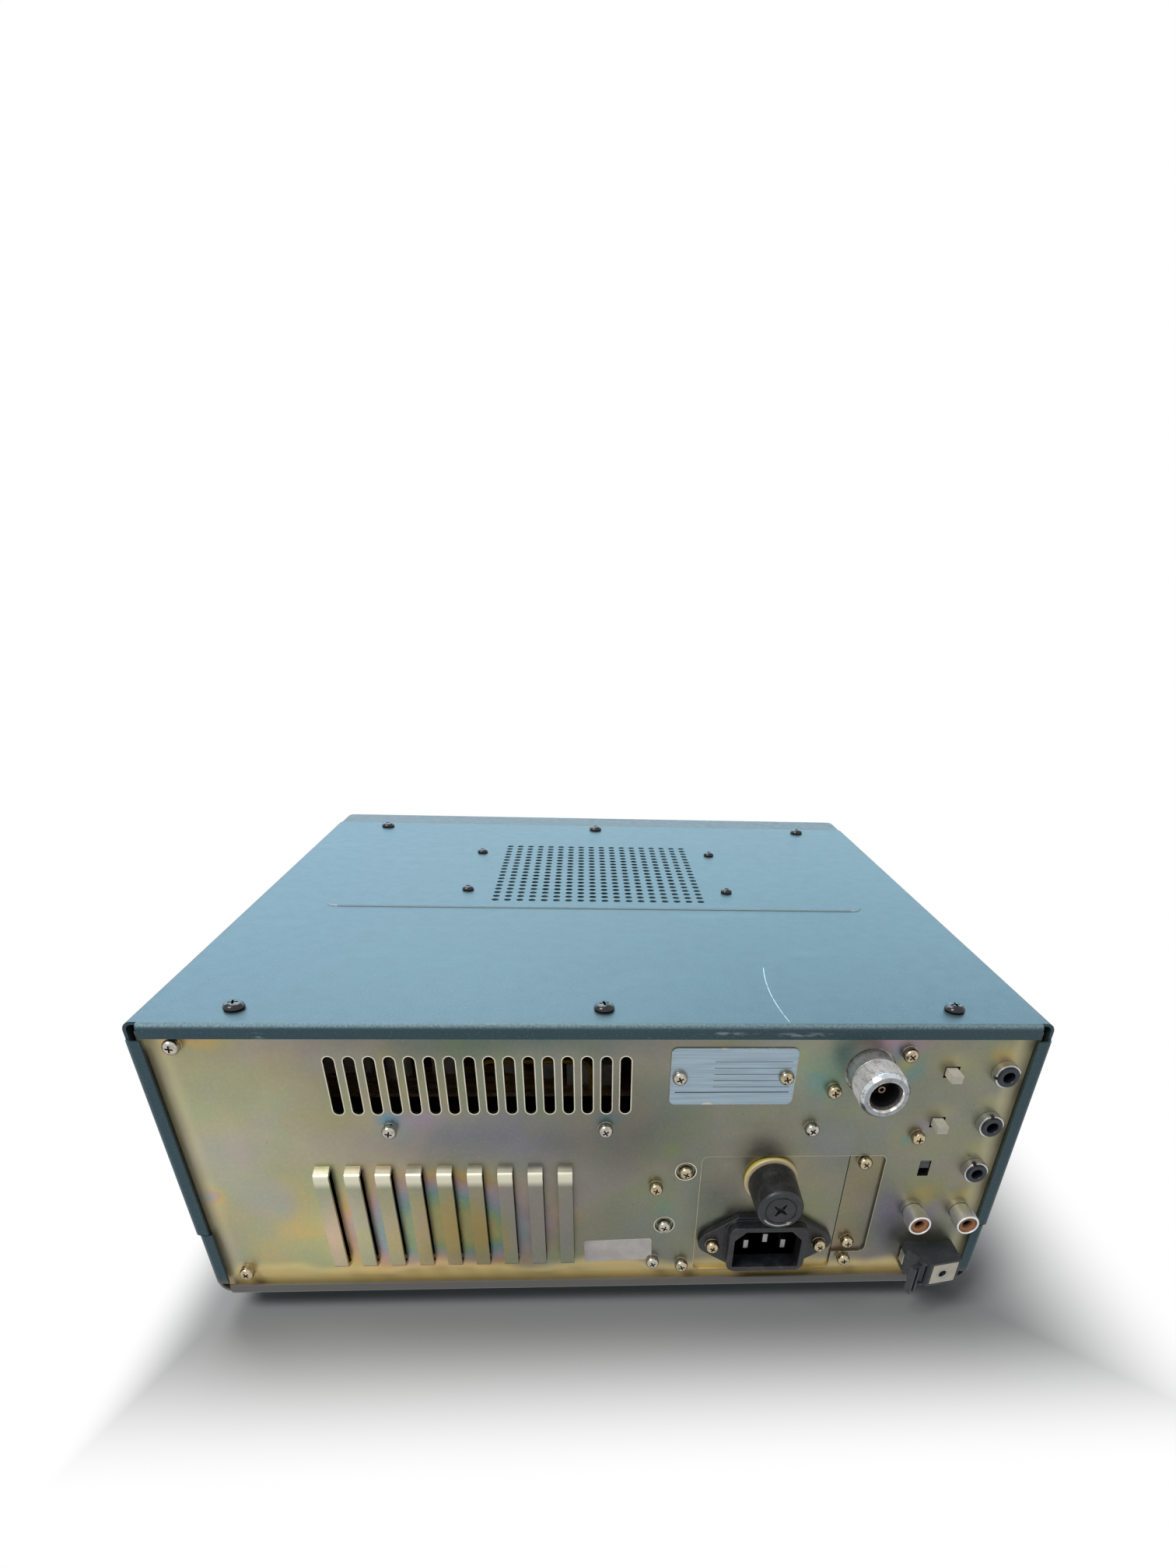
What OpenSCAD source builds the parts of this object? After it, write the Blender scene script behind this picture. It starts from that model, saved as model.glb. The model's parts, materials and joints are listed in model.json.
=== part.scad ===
// Communications receiver, a desk-top set in a folded steel case.
// +Z is up, the controls face -Y and the sockets face +Y. The origin is under the middle, on the table.
// "Across" values (names ending in _u) count to the right as seen from the rear.

/* [Case] */
// Width across the covers
case_w = 286; // [280:1:320]
// Height of the case without its feet
case_h = 110; // [106:1:126]
// Depth from the rear flanges to the front frame
case_d = 276; // [262:1:320]
// Sheet thickness of the covers
cover_t = 1; // [0.8:0.1:1.2]
// Corner radius of the upper cover
cover_r = 3; // [2:0.5:4]
// Corner radius of the lower cover
tray_r = 4.5; // [3:0.5:6]
// Outer radius of the folds at the rear edges
fold_r = 2; // [1.5:0.1:2.5]
// Width of the rear flanges
flange_w = 4.7; // [4:0.1:6]
// Length left open at the cover's rear corners
corner_gap = 5.7; // [5:0.1:7]
// Height of the seam between the covers
seam_h = 29; // [24:1:34]
// Overlap of the lower cover behind the upper one
seam_lap = 6; // [4:1:10]
// Open line along the seam between the rear flanges
seam_gap = 0.3; // [0.1:0.1:0.6]
// Height of the rubber feet
foot_h = 10; // [6:1:16]
// Diameter of the rubber feet
foot_d = 20; // [14:1:24]
// Distance of a foot's centre from the case sides
foot_side = 30; // [24:1:40]
// Distance of a foot's centre from the rear and front edges
foot_end = 46; // [45:1:60]

/* [Grille] */
// Holes along each side of the loudspeaker grille
grille_n = 18; // [10:1:20]
// Distance between grille holes
grille_pitch = 5.15; // [4.6:0.05:5.4]
// Diameter of the grille holes
grille_hole = 3; // [2:0.1:3.4]
// Depth of the grille's centre from the rear edge
grille_depth = 163.6; // [150:0.1:170]
// Width of the pressed field around the grille
field_w = 225; // [190:1:230]
// Length of the pressed field around the grille
field_l = 106; // [100:1:116]
// Corner radius of the pressed field
field_r = 6; // [4:0.5:10]
// Rise of the pressed field
field_rise = 0.5; // [0.3:0.1:0.8]

/* [Rear panel] */
// Depth of the panel behind the flanges
panel_recess = 2.5; // [1.5:0.1:4]
// Thickness of the rear panel
panel_t = 1.2; // [1:0.1:1.6]
// Distance of the panel's ends from the case sides
panel_side = 4.5; // [4:0.1:6]
// Distance of the rear layout's middle line from the right-hand case side
layout_side = 143; // [141:1:147]
// Length of the folded lips of the panel and the front chassis
lip_l = 16; // [14:1:20]
// Number of vent slots
slot_n = 16; // [8:1:18]
// Width of a vent slot
slot_w = 3.5; // [2.5:0.1:4]
// Length of a vent slot
slot_l = 21; // [14:0.5:24]
// Distance between vent slots
slot_pitch = 6.15; // [5:0.05:6.5]
// Middle of the row of slots, from the layout's middle line
slot_u = -39.3; // [-50:0.1:-30]
// Distance of the slots below the case top
slot_top = 11.9; // [9:0.1:14]
// Number of pressed louvre bars
louvre_n = 9; // [4:1:9]
// Width of a louvre bar
louvre_w = 5; // [3:0.1:6]
// Length of a louvre bar
louvre_l = 44; // [30:0.5:46]
// Distance between louvre bars
louvre_pitch = 10.2; // [8:0.1:10.5]
// Middle of the row of louvre bars, from the layout's middle line
louvre_u = -54.1; // [-60:0.1:-50]
// Height of the louvre bars' lower ends
louvre_z = 12.6; // [10:0.1:15]
// Rise of a louvre bar off the panel
louvre_rise = 4; // [2:0.1:5]
// Length of a louvre bar's sloped end
louvre_run = 1.6; // [1:0.1:3]
// Thickness of a louvre bar's sloped end
louvre_skin = 1; // [0.8:0.1:1.4]
// Width of the rating plate
rating_w = 40.8; // [30:0.1:44]
// Height of the rating plate
rating_h = 20.7; // [14:0.1:24]
// Middle of the rating plate, from the layout's middle line
rating_u = 41.5; // [38:0.1:46]
// Distance of the rating plate's middle below the case top
rating_drop = 19; // [18:0.1:22]
// Distance between the rating plate's screws
rating_screws = 34.6; // [24:0.1:36]

/* [Sockets] */
// Distance of the switch column from the case side
switch_side = 29.4; // [28:0.1:32]
// Distance of the jack column from the case side
jack_side = 11.7; // [11.2:0.1:13]
// Height of the first row above the case's middle
row_top = 37.3; // [35:0.1:39]
// Distance between rows
row_pitch = 19.4; // [18:0.1:20]
// Width of a push-button
push_w = 4; // [3:0.1:5]
// Height of a push-button
push_h = 3.2; // [2.6:0.1:4]
// Reach of a push-button from the panel
push_reach = 5.4; // [4.5:0.1:7]
// Travel of a push-button
push_travel = 3; // [2:0.1:3.5]
// Width of the slide switch opening
slide_w = 3.9; // [3:0.1:5]
// Height of the slide switch opening
slide_h = 6.6; // [5.5:0.1:8]
// Travel of the slide switch
slide_travel = 3; // [2:0.1:3]
// Bore of the small jacks
jack_bore = 3.6; // [3:0.1:4]
// Diameter of the jacks' nut rings
jack_ring = 8.6; // [7.5:0.1:9]
// Reach of the jacks from the panel
jack_reach = 4.2; // [3.4:0.1:6]
// Diameter of the phono sockets
phono_d = 8.3; // [7.5:0.1:9]
// Reach of the phono sockets from the panel
phono_reach = 9; // [7:0.1:11]
// Thread diameter of the antenna socket
antenna_d = 15.9; // [14:0.1:17]
// Reach of the antenna socket from the panel
antenna_reach = 17; // [14:0.1:20]
// Bore of the antenna socket
antenna_bore = 9.6; // [8:0.1:11]
// Distance of the antenna socket from the case side
antenna_side = 56.6; // [52:0.1:60]
// Distance of the antenna socket below the case top
antenna_top = 17.2; // [16:0.1:22]
// Width of the wire terminal
term_w = 18.5; // [16:0.1:20]
// Height of the wire terminal
term_h = 11; // [9:0.1:13]
// Height of the wire terminal's underside
term_z = 8.5; // [7:0.1:10]
// Reach of the wire terminal from the panel
term_reach = 13.4; // [11:0.1:15]
// Distance of the wire terminal's outer side from the case side
term_side = 10.8; // [10:0.1:13]

/* [Mains] */
// Width of the mains window
window_w = 52.4; // [50.5:0.1:56]
// Height of the mains window
window_h = 52.6; // [52:0.1:56]
// Inner edge of the mains window, from the layout's middle line
window_u = 34; // [32:0.1:36]
// Height of the mains window's lower edge
window_z = 6.6; // [5:0.1:8]
// Width of the narrow option window
option_w = 12.6; // [8:0.1:13]
// Height of the narrow option window's lower edge
option_z = 14.9; // [12:0.1:17]
// Screw spacing of the mains inlet
inlet_screws = 40; // [38:0.5:42]
// Height of the mains inlet's middle
inlet_z = 21.3; // [20:0.1:22]
// Width of the inlet's socket
inlet_w = 24.6; // [22:0.1:26]
// Height of the inlet's socket
inlet_h = 16.6; // [15:0.1:18]
// Wall of the inlet's shroud
inlet_wall = 2.2; // [1.8:0.1:2.6]
// Reach of the inlet's shroud from its plate
inlet_reach = 7.2; // [5:0.1:9]
// Depth of the inlet's socket
inlet_deep = 17; // [14:0.5:20]
// Height of the fuse holder's middle
fuse_z = 48.9; // [47:0.1:49.2]
// Diameter of the fuse holder's ring
fuse_ring = 19.2; // [17:0.1:19.6]
// Diameter of the fuse cap at its root
fuse_cap_d = 17; // [15:0.1:18]
// Reach of the fuse cap from the panel
fuse_reach = 17.3; // [14:0.1:20]

/* [Front] */
// Depth of the front frame
bezel_d = 19; // [18:0.5:24]
// Plan radius of the front frame's corners
bezel_r = 6; // [4:0.5:8]
// Width of the front frame's border
bezel_border = 7; // [6:0.5:10]
// Thickness of the front panel
fascia_t = 2.5; // [2:0.1:3]
// Diameter of the tuning knob
tuning_d = 52; // [40:1:56]
// Reach of the tuning knob from the front frame
tuning_reach = 22; // [16:1:28]
// Distance of the tuning knob's axis from the case side
tuning_x = 45; // [41:1:51]
// Height of the tuning knob's axis
tuning_z = 46; // [42:1:52]
// Diameter of the small knobs
knob_d = 19; // [14:1:22]
// Reach of the small knobs from the front frame
knob_reach = 13; // [10:1:18]
// Distance between the small knobs
knob_pitch = 32; // [28:1:36]
// Height of the small knobs' axes
knob_z = 25; // [22:1:28]
// Distance of the first small knob from the case side
knob_side = 27; // [24:1:32]
// Width of the display window
display_w = 100; // [80:1:104]
// Height of the display window
display_h = 22; // [16:1:26]
// Width of the meter window
meter_w = 44; // [36:1:48]
// Height of the meter window
meter_h = 24; // [20:1:28]
// Distance of the windows' middle below the case top
window_drop = 27; // [25:1:30]
// Width of a key
key_w = 13; // [10:0.5:14]
// Height of a key
key_h = 8; // [6:0.5:10]
// Distance between keys
key_pitch = 18; // [16:0.5:20]
// Height of the row of keys
key_z = 50; // [46:1:54]
// Travel of a key
key_travel = 1.2; // [0.8:0.1:1.5]
// Bore of the headphone jack
phones_bore = 6.4; // [6.3:0.1:6.5]

/* [Chassis] */
// Thickness of the side frames
frame_t = 1.6; // [1.2:0.1:2]
// Height of the chassis deck
deck_z = 50; // [48:0.5:52]
// Depth of the deck's rear edge
deck_rear = 40; // [39:1:46]
// Thickness of the circuit boards
board_t = 1.6; // [1.2:0.1:2]

/* [Hidden] */
$fn = 48;

// Small overshoot that carries a cut right through
cut = 1;
// Clearance of a sliding piece in its guide
slide_gap = 0.3;
// Running clearance of a shaft in its bore
shaft_gap = 0.05;
// Radius of a screw's shank and of its hole
shank_r = 1.45;
screw_hole_r = 1.6;

// Levels along Y and Z, worked out from the overall sizes
rear_reach = max(antenna_reach, fuse_reach) - panel_recess;
total_d = case_d + tuning_reach + rear_reach;
rear_y = total_d / 2 - rear_reach;
front_y = rear_y - case_d;
joint_y = front_y + bezel_d;
cover_d = case_d - bezel_d;
base_z = foot_h;
top_z = foot_h + case_h;
panel_y = rear_y - panel_recess;
plate_y = panel_y - panel_t;
plate_in_y = plate_y - panel_t;
bezel_lip = 2.5;
fascia_y = front_y + bezel_lip;
glass_y = fascia_y + fascia_t;
glass_t = 1.5;
tray_w = case_w - 2 * cover_t;
frame_out = tray_w / 2 - cover_t;
frame_in = frame_out - frame_t;
panel_w = case_w - 2 * panel_side;
inner_h = case_h - 2 * cover_t;

// Local frames: across, up and out for the rear and the front, across, depth and up for the top
module rear_view(y) { translate([0, y, base_z]) rotate([90, 0, 180]) children(); }
module front_view(y) { translate([0, y, base_z]) rotate([90, 0, 0]) children(); }
module top_view(z) { translate([0, rear_y, z]) rotate([0, 0, 180]) children(); }

// Flat shapes
module round_rect(w, h, r) {
    square([w - 2 * r, h], center = true);
    square([w, h - 2 * r], center = true);
    for (sx = [-1, 1], sy = [-1, 1])
        translate([sx * (w / 2 - r), sy * (h / 2 - r)]) circle(r);
}

module slot_shape(w, l) {
    square([w, l - w], center = true);
    for (s = [-1, 1]) translate([0, s * (l - w) / 2]) circle(d = w);
}

// Outline with two rounded upper corners, standing on y = 0
module hood_shape(w, h, r) {
    translate([-w / 2, 0]) square([w, h - r]);
    translate([-w / 2 + r, 0]) square([w - 2 * r, h]);
    for (s = [-1, 1]) translate([s * (w / 2 - r), h - r]) circle(r);
}

// A folded sheet: web on top and two legs, as long as l
module channel(w, h, r, t, l) {
    linear_extrude(l) difference() {
        hood_shape(w, h, r);
        translate([0, -cut]) hood_shape(w - 2 * t, h - t + cut, r - t);
    }
}

// The folded rear edge of a cover: a quarter bend and a narrow flange
module flange_shape() {
    translate([0, -fold_r]) intersection() {
        difference() {
            circle(fold_r);
            circle(fold_r - cover_t);
        }
        square(fold_r);
    }
    translate([fold_r - cover_t, -flange_w]) square([cover_t, flange_w - fold_r]);
}

module level_flange(l) {
    translate([-l / 2, rear_y - fold_r, 0]) rotate([90, 0, 90]) linear_extrude(l) flange_shape();
}

module side_flanges(w, z_low, z_high) {
    for (m = [0, 1]) mirror([m, 0, 0])
        translate([-w / 2, rear_y - fold_r, z_low]) rotate([0, 0, 90])
            linear_extrude(z_high - z_low) flange_shape();
}

// Covers
grille_span = (grille_n - 1) * grille_pitch / 2;
cover_screw_u = 113.3;
cover_screw_rear = 11.5;
cover_screw_front = 10;
cover_screw_depths = [cover_screw_rear, cover_d - cover_screw_front];
speaker_screw_u = 56.6;
speaker_screw_l = 61.5;
speaker_hole_r = 1.35;

module at_cover_screws() {
    for (u = [-cover_screw_u, 0, cover_screw_u], d = cover_screw_depths) translate([u, d, 0]) children();
}

module at_speaker_screws() {
    for (u = [-speaker_screw_u, speaker_screw_u], s = [-1, 1])
        translate([u, grille_depth + s * speaker_screw_l / 2, 0]) children();
}

module top_cover() color("#46514f") difference() {
    union() {
        rear_view(rear_y) translate([0, seam_h, -cover_d])
            channel(case_w, case_h - seam_h, cover_r, cover_t, cover_d - fold_r);
        translate([0, 0, top_z]) level_flange(case_w - 2 * flange_w);
        side_flanges(case_w, base_z + seam_h, top_z - corner_gap);
        top_view(top_z) translate([0, grille_depth])
            linear_extrude(field_rise) round_rect(field_w, field_l, field_r);
    }
    top_view(top_z - cover_t) {
        translate([0, grille_depth, -cut]) linear_extrude(field_rise + cut)
            round_rect(field_w - 2 * cover_t, field_l - 2 * cover_t, field_r - cover_t);
        for (u = [-grille_span : grille_pitch : grille_span + cut / 2])
            for (d = [-grille_span : grille_pitch : grille_span + cut / 2])
                translate([u, grille_depth + d, -cut])
                    cylinder(d = grille_hole, h = cover_t + field_rise + 2 * cut);
        at_cover_screws() translate([0, 0, -cut]) cylinder(r = screw_hole_r, h = cover_t + 2 * cut);
        at_speaker_screws() translate([0, 0, -cut])
            cylinder(r = speaker_hole_r, h = cover_t + field_rise + 2 * cut);
    }
}

module bottom_cover() color("#434c4b") difference() {
    union() {
        translate([0, rear_y - cover_d, base_z + seam_h + seam_lap]) rotate([-90, 0, 0])
            channel(tray_w, seam_h + seam_lap, tray_r, cover_t, cover_d - fold_r);
        translate([0, 0, base_z]) mirror([0, 0, 1]) level_flange(tray_w - 2 * flange_w);
        side_flanges(tray_w, base_z + corner_gap, base_z + seam_h - seam_gap);
    }
    top_view(base_z - cut) at_cover_screws() cylinder(r = screw_hole_r, h = cover_t + 2 * cut);
}

// Rear panel
layout_u = case_w / 2 - layout_side;
slot_mid = layout_u + slot_u;
louvre_mid = layout_u + louvre_u;
rating_mid = layout_u + rating_u;
window_left = layout_u + window_u;
function on_layout(points) = [for (p = points) [layout_u + p[0], p[1]]];
switch_u = case_w / 2 - switch_side;
jack_u = case_w / 2 - jack_side;
function row_z(i) = case_h / 2 + row_top - i * row_pitch;
antenna_u = case_w / 2 - antenna_side;
antenna_z = case_h - antenna_top;
antenna_hole_r = antenna_d / 2 + 0.4;
flange_screw = [11.3, 6.7];
push_gap = 0.5;
jack_neck_d = 5.3;
jack_neck_gap = 0.1;
phono_neck_d = 7.1;
phono_hole_gap = 0.2;
term_u = case_w / 2 - term_side - term_w;
term_foot = 3;
term_hole_w = term_w - 2 * term_foot;
term_hole_h = term_h - 2 * term_foot;
window_r = 2.5;
option_u = window_left + window_w;
access_r = 3.5;
frame_screw_side = 13.1;
frame_screw_top = 7.6;
frame_screw_low = 10.4;
frame_screws = [for (z = [case_h - frame_screw_top, frame_screw_low]) [frame_screw_side - case_w / 2, z]];
rail_screw_z = 71.5;
rail_screws = on_layout([for (u = [-70.1, 0.5, 70]) [u, rail_screw_z]]);
unit_screws = on_layout([[18.3, 47], [18.3, 12.6], [29.3, 10.8]]);
unit_inner_screws = on_layout([[28.6, 53], [22.1, 29]]);
strip_u = option_u + option_w / 2 - 1.2;
strip_screws = [[strip_u, 56.6], [strip_u, 20.2]];
strip_low_screw = [strip_u - 0.4, 12.6];
board_screw = [switch_u - 6.1, row_z(1) - 5.2];
antenna_screws = [for (s = [-1, 1]) [antenna_u + s * flange_screw[0], antenna_z + s * flange_screw[1]]];
panel_screws = concat(frame_screws, rail_screws, unit_screws, antenna_screws, [strip_low_screw, board_screw]);

module at_points(points) { for (p = points) translate([p[0], p[1], 0]) children(); }

module window_cut() {
    translate([window_left + window_w / 2, window_z + window_h / 2]) round_rect(window_w, window_h, window_r);
    option_h = window_z + window_h - option_z;
    translate([option_u + option_w / 2 - window_r / 2, option_z + option_h / 2])
        round_rect(option_w + window_r, option_h, window_r);
}

module panel_cuts() {
    for (i = [0 : slot_n - 1])
        translate([slot_mid + (i - (slot_n - 1) / 2) * slot_pitch, case_h - slot_top - slot_l / 2])
            slot_shape(slot_w, slot_l);
    for (i = [0 : louvre_n - 1])
        translate([louvre_at(i) - louvre_w / 2, louvre_z + louvre_skin])
            square([louvre_w, louvre_l - 2 * louvre_skin]);
    window_cut();
    translate([antenna_u, antenna_z]) circle(antenna_hole_r);
    for (i = [0, 1]) translate([switch_u, row_z(i)])
        square([push_w + 2 * push_gap, push_h + 2 * push_gap], center = true);
    translate([switch_u, row_z(2)]) square([slide_w, slide_h], center = true);
    for (i = [0 : 2]) translate([jack_u, row_z(i)]) circle(d = jack_neck_d + 2 * jack_neck_gap);
    for (u = [switch_u, jack_u]) translate([u, row_z(3)]) circle(d = phono_neck_d + 2 * phono_hole_gap);
    translate([term_u + term_foot, term_z + term_foot]) square([term_hole_w, term_hole_h]);
    at_points(unit_inner_screws) circle(access_r);
    at_points(panel_screws) circle(screw_hole_r);
    for (s = [-1, 1]) translate([rating_mid + s * rating_screws / 2, case_h - rating_drop])
        circle(screw_hole_r);
}

function louvre_at(i) = louvre_mid + (i - (louvre_n - 1) / 2) * louvre_pitch;

// One louvre bar, sheared along its sides and pressed out of the panel between its two ends
module louvre_bar() {
    top = louvre_z + louvre_l;
    in_top = top - louvre_skin;
    in_low = louvre_z + louvre_skin;
    rotate([90, 0, 90]) linear_extrude(louvre_w) polygon([
        [0, louvre_z], [louvre_rise, louvre_z + louvre_run], [louvre_rise, top - louvre_run], [0, top],
        [-panel_t, top], [-panel_t, in_top], [louvre_rise - panel_t, in_top - louvre_run],
        [louvre_rise - panel_t, in_low + louvre_run], [-panel_t, in_low], [-panel_t, louvre_z]
    ]);
}

module rear_panel() color("#a8a078") {
    difference() {
        translate([-panel_w / 2, panel_y - lip_l, base_z + case_h / 2]) rotate([0, 90, 0])
            channel(inner_h, lip_l, fold_r, panel_t, panel_w);
        rear_view(panel_y - panel_t - cut) linear_extrude(panel_t + 2 * cut) panel_cuts();
        for (z = [base_z, top_z - 2 * panel_t])
            top_view(z - cut) at_cover_screws() cylinder(r = screw_hole_r, h = 2 * panel_t + 2 * cut);
    }
    for (i = [0 : louvre_n - 1])
        translate([-louvre_at(i) - louvre_w / 2, panel_y, base_z]) louvre_bar();
}

// Plates of the mains unit, behind the panel's window
unit_u = layout_u + 14;
unit_low = 3.5;
plate_over = 3;
plate_seam = 0.3;
plate_top = window_z + window_h + plate_over;
fit_gap = 0.1;
inlet_u = window_left + window_w / 2 - 0.2;
inlet_back_wall = 1.4;
inlet_back_w = inlet_w + 2 * inlet_back_wall;
inlet_back_h = inlet_h + 2 * inlet_back_wall;
fuse_u = inlet_u - 0.8;
fuse_body_d = 12.6;

module power_plate() color("#a39c72") rear_view(plate_in_y) linear_extrude(panel_t) difference() {
    translate([unit_u, unit_low]) square([option_u - plate_seam / 2 - unit_u, plate_top - unit_low]);
    translate([inlet_u, inlet_z])
        square([inlet_back_w + 2 * fit_gap, inlet_back_h + 2 * fit_gap], center = true);
    for (s = [-1, 1]) translate([inlet_u + s * inlet_screws / 2, inlet_z]) circle(screw_hole_r);
    translate([fuse_u, fuse_z]) circle(d = fuse_body_d + 2 * fit_gap);
    at_points(concat(unit_screws, unit_inner_screws)) circle(screw_hole_r);
}

module option_strip() color("#a58f7c") rear_view(plate_in_y) linear_extrude(panel_t) difference() {
    left = option_u + plate_seam / 2;
    low = option_z - 2 * plate_over;
    translate([left, low]) square([option_u + option_w + plate_over - left, plate_top - low]);
    at_points(concat(strip_screws, [strip_low_screw])) circle(screw_hole_r);
}

rating_t = 0.6;
rating_r = 2;

module rating_plate() color("#b9bfc4") rear_view(panel_y) linear_extrude(rating_t)
    translate([rating_mid, case_h - rating_drop]) difference() {
        round_rect(rating_w, rating_h, rating_r);
        for (s = [-1, 1]) translate([s * rating_screws / 2, 0]) circle(screw_hole_r);
    }

// Front frame, front panel and front chassis
bezel_ledge = 3;
bezel_corner = 4;
opening_w = case_w - 2 * bezel_border;
opening_h = case_h - 2 * bezel_border;
pocket_gap = 0.2;
shaft_r = 3;
shaft_hole_r = 3.8;
bush_r = 4.8;
knob_x = -case_w / 2 + knob_side;
knob_xs = [knob_x, knob_x + knob_pitch];
phones_x = knob_x + 2 * knob_pitch + 1;
phones_bush_r = 5.6;
meter_side = 36;
meter_x = meter_side - case_w / 2;
tuning_at = case_w / 2 - tuning_x;
display_x = -10;
display_z = case_h - window_drop;
power_x = knob_x;
power_z = key_z + 1;
power_w = 14;
power_h = 9;
key_n = 4;
function key_x(i) = display_x + (i - (key_n - 1) / 2) * key_pitch;

module front_bezel() color("#2e3534") difference() {
    intersection() {
        front_view(joint_y) linear_extrude(bezel_d)
            translate([0, case_h / 2]) round_rect(case_w, case_h, bezel_corner);
        translate([0, joint_y, base_z - cut]) mirror([0, 1, 0])
            linear_extrude(case_h + 2 * cut) hood_shape(case_w, bezel_d, bezel_r);
    }
    front_view(joint_y) translate([0, case_h / 2, -cut]) {
        linear_extrude(bezel_d + 2 * cut) round_rect(opening_w, opening_h, bezel_corner - 1);
        linear_extrude(bezel_d - bezel_lip + cut)
            round_rect(opening_w + 2 * bezel_ledge, opening_h + 2 * bezel_ledge, bezel_corner - 1);
    }
}

module front_panel() color("#343b3a") front_view(glass_y) linear_extrude(fascia_t) difference() {
    translate([0, case_h / 2]) round_rect(opening_w + 2 * bezel_ledge - 2 * pocket_gap,
        opening_h + 2 * bezel_ledge - 2 * pocket_gap, bezel_corner - 1);
    translate([display_x, display_z]) round_rect(display_w, display_h, 1.5);
    translate([meter_x, display_z]) round_rect(meter_w, meter_h, 1.5);
    translate([tuning_at, tuning_z]) circle(shaft_hole_r);
    for (x = knob_xs) translate([x, knob_z]) circle(shaft_hole_r);
    translate([phones_x, knob_z]) circle(phones_bush_r + fit_gap);
    for (i = [0 : key_n - 1]) translate([key_x(i), key_z])
        square([key_w + 2 * slide_gap, key_h + 2 * slide_gap], center = true);
    translate([power_x, power_z])
        square([power_w + 2 * slide_gap, power_h + 2 * slide_gap], center = true);
}

display_t = 7;
board_y = glass_y + glass_t + display_t;
chassis_w = tray_w - 2 * tray_r;
front_board_w = 92;
front_board_low = 36;
front_board_high = case_h - 10;
post_r = 3;
post_inset = 5;

module front_board_posts() {
    for (s = [-1, 1], z = [front_board_low + post_inset, front_board_high - post_inset])
        translate([display_x + s * (front_board_w / 2 - post_inset), z, 0])
            cylinder(r = post_r, h = joint_y - board_y - board_t);
}

module front_chassis() color("#b0ad9a") {
    difference() {
        translate([-chassis_w / 2, joint_y + lip_l, base_z + case_h / 2]) rotate([180, 0, 0])
            rotate([0, 90, 0]) channel(inner_h, lip_l, fold_r, panel_t, chassis_w);
        front_view(joint_y + panel_t + cut) linear_extrude(panel_t + 2 * cut) {
            translate([tuning_at, tuning_z]) circle(bush_r + fit_gap);
            for (x = knob_xs) translate([x, knob_z]) circle(bush_r + fit_gap);
            translate([display_x, front_board_low - 2 * post_r]) rotate(90) slot_shape(post_r, 8 * post_r);
        }
        for (z = [base_z, top_z - 2 * panel_t])
            top_view(z - cut) at_cover_screws() cylinder(r = screw_hole_r, h = 2 * panel_t + 2 * cut);
    }
    front_view(joint_y) front_board_posts();
}

module front_board() color("#5c6b3a") front_view(board_y + board_t) linear_extrude(board_t)
    translate([display_x - front_board_w / 2, front_board_low])
        square([front_board_w, front_board_high - front_board_low]);

// Side frames and deck
frame_low = tray_r;
frame_high = case_h - cover_r - cover_t;
wide_tab = 17;
narrow_tab = 2.4;

// A side frame on the +X side, with its rear tab folded inwards behind the panel
module side_frame(tab) {
    translate([frame_in, joint_y, base_z + frame_low])
        cube([frame_t, plate_y - joint_y, frame_high - frame_low]);
    translate([frame_in - tab, plate_y - frame_t, base_z + frame_low])
        cube([tab + frame_t, frame_t, frame_high - frame_low]);
}

module right_frame() color("#b5a878") difference() {
    side_frame(wide_tab);
    rear_view(plate_y - frame_t - cut) at_points(frame_screws)
        cylinder(r = screw_hole_r, h = frame_t + 2 * cut);
}

module left_frame() color("#b5a878") mirror([1, 0, 0]) side_frame(narrow_tab);

deck_leg = 8;
deck_top = deck_z + panel_t;
deck_l = rear_y - deck_rear - joint_y - lip_l;
board_rise = 6;
board_drop = 12;
deck_front = deck_rear + deck_l;
board_side = 14.4;
board_left = board_side - frame_in;
upper_board_right = layout_u + 20;
lower_board_right = layout_u + 10;
upper_board_rear = 7;
lower_board_rear = 26;
board_front = 11;
upper_board_u = [board_left, upper_board_right];
lower_board_u = [board_left, lower_board_right];
upper_board_depth = [deck_rear + upper_board_rear, deck_front - board_front];
lower_board_depth = [deck_rear + lower_board_rear, deck_front - board_front];

module board_posts(us, depths, h) {
    for (u = [us[0] + post_inset, us[1] - post_inset], d = [depths[0] + post_inset, depths[1] - post_inset])
        translate([u, d, 0]) cylinder(r = post_r, h = h);
}

module chassis_deck() color("#b0ad9a") {
    rear_view(joint_y + lip_l) translate([0, deck_top - deck_leg, 0])
        channel(2 * frame_in, deck_leg, fold_r, panel_t, deck_l);
    top_view(base_z + deck_top) board_posts(upper_board_u, upper_board_depth, board_rise);
    top_view(base_z + deck_z - board_drop) board_posts(lower_board_u, lower_board_depth, board_drop);
}

module board_plate(us, depths) {
    translate([us[0], depths[0], 0]) cube([us[1] - us[0], depths[1] - depths[0], board_t]);
}

module upper_board() color("#7a5a3a") top_view(base_z + deck_top + board_rise)
    board_plate(upper_board_u, upper_board_depth);

module lower_board() color("#4f6b45") top_view(base_z + deck_z - board_drop - board_t)
    board_plate(lower_board_u, lower_board_depth);

// Feet and screws
foot_taper = 4;
foot_recess_d = 7;
foot_recess_h = 4;

module rubber_feet() color("#1d1e1f")
    for (sx = [-1, 1], d = [foot_end, case_d - foot_end])
        translate([sx * (case_w / 2 - foot_side), rear_y - d, 0]) difference() {
            cylinder(d1 = foot_d - foot_taper, d2 = foot_d, h = foot_h);
            translate([0, 0, -cut]) cylinder(d = foot_recess_d, h = foot_recess_h + cut);
        }

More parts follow.
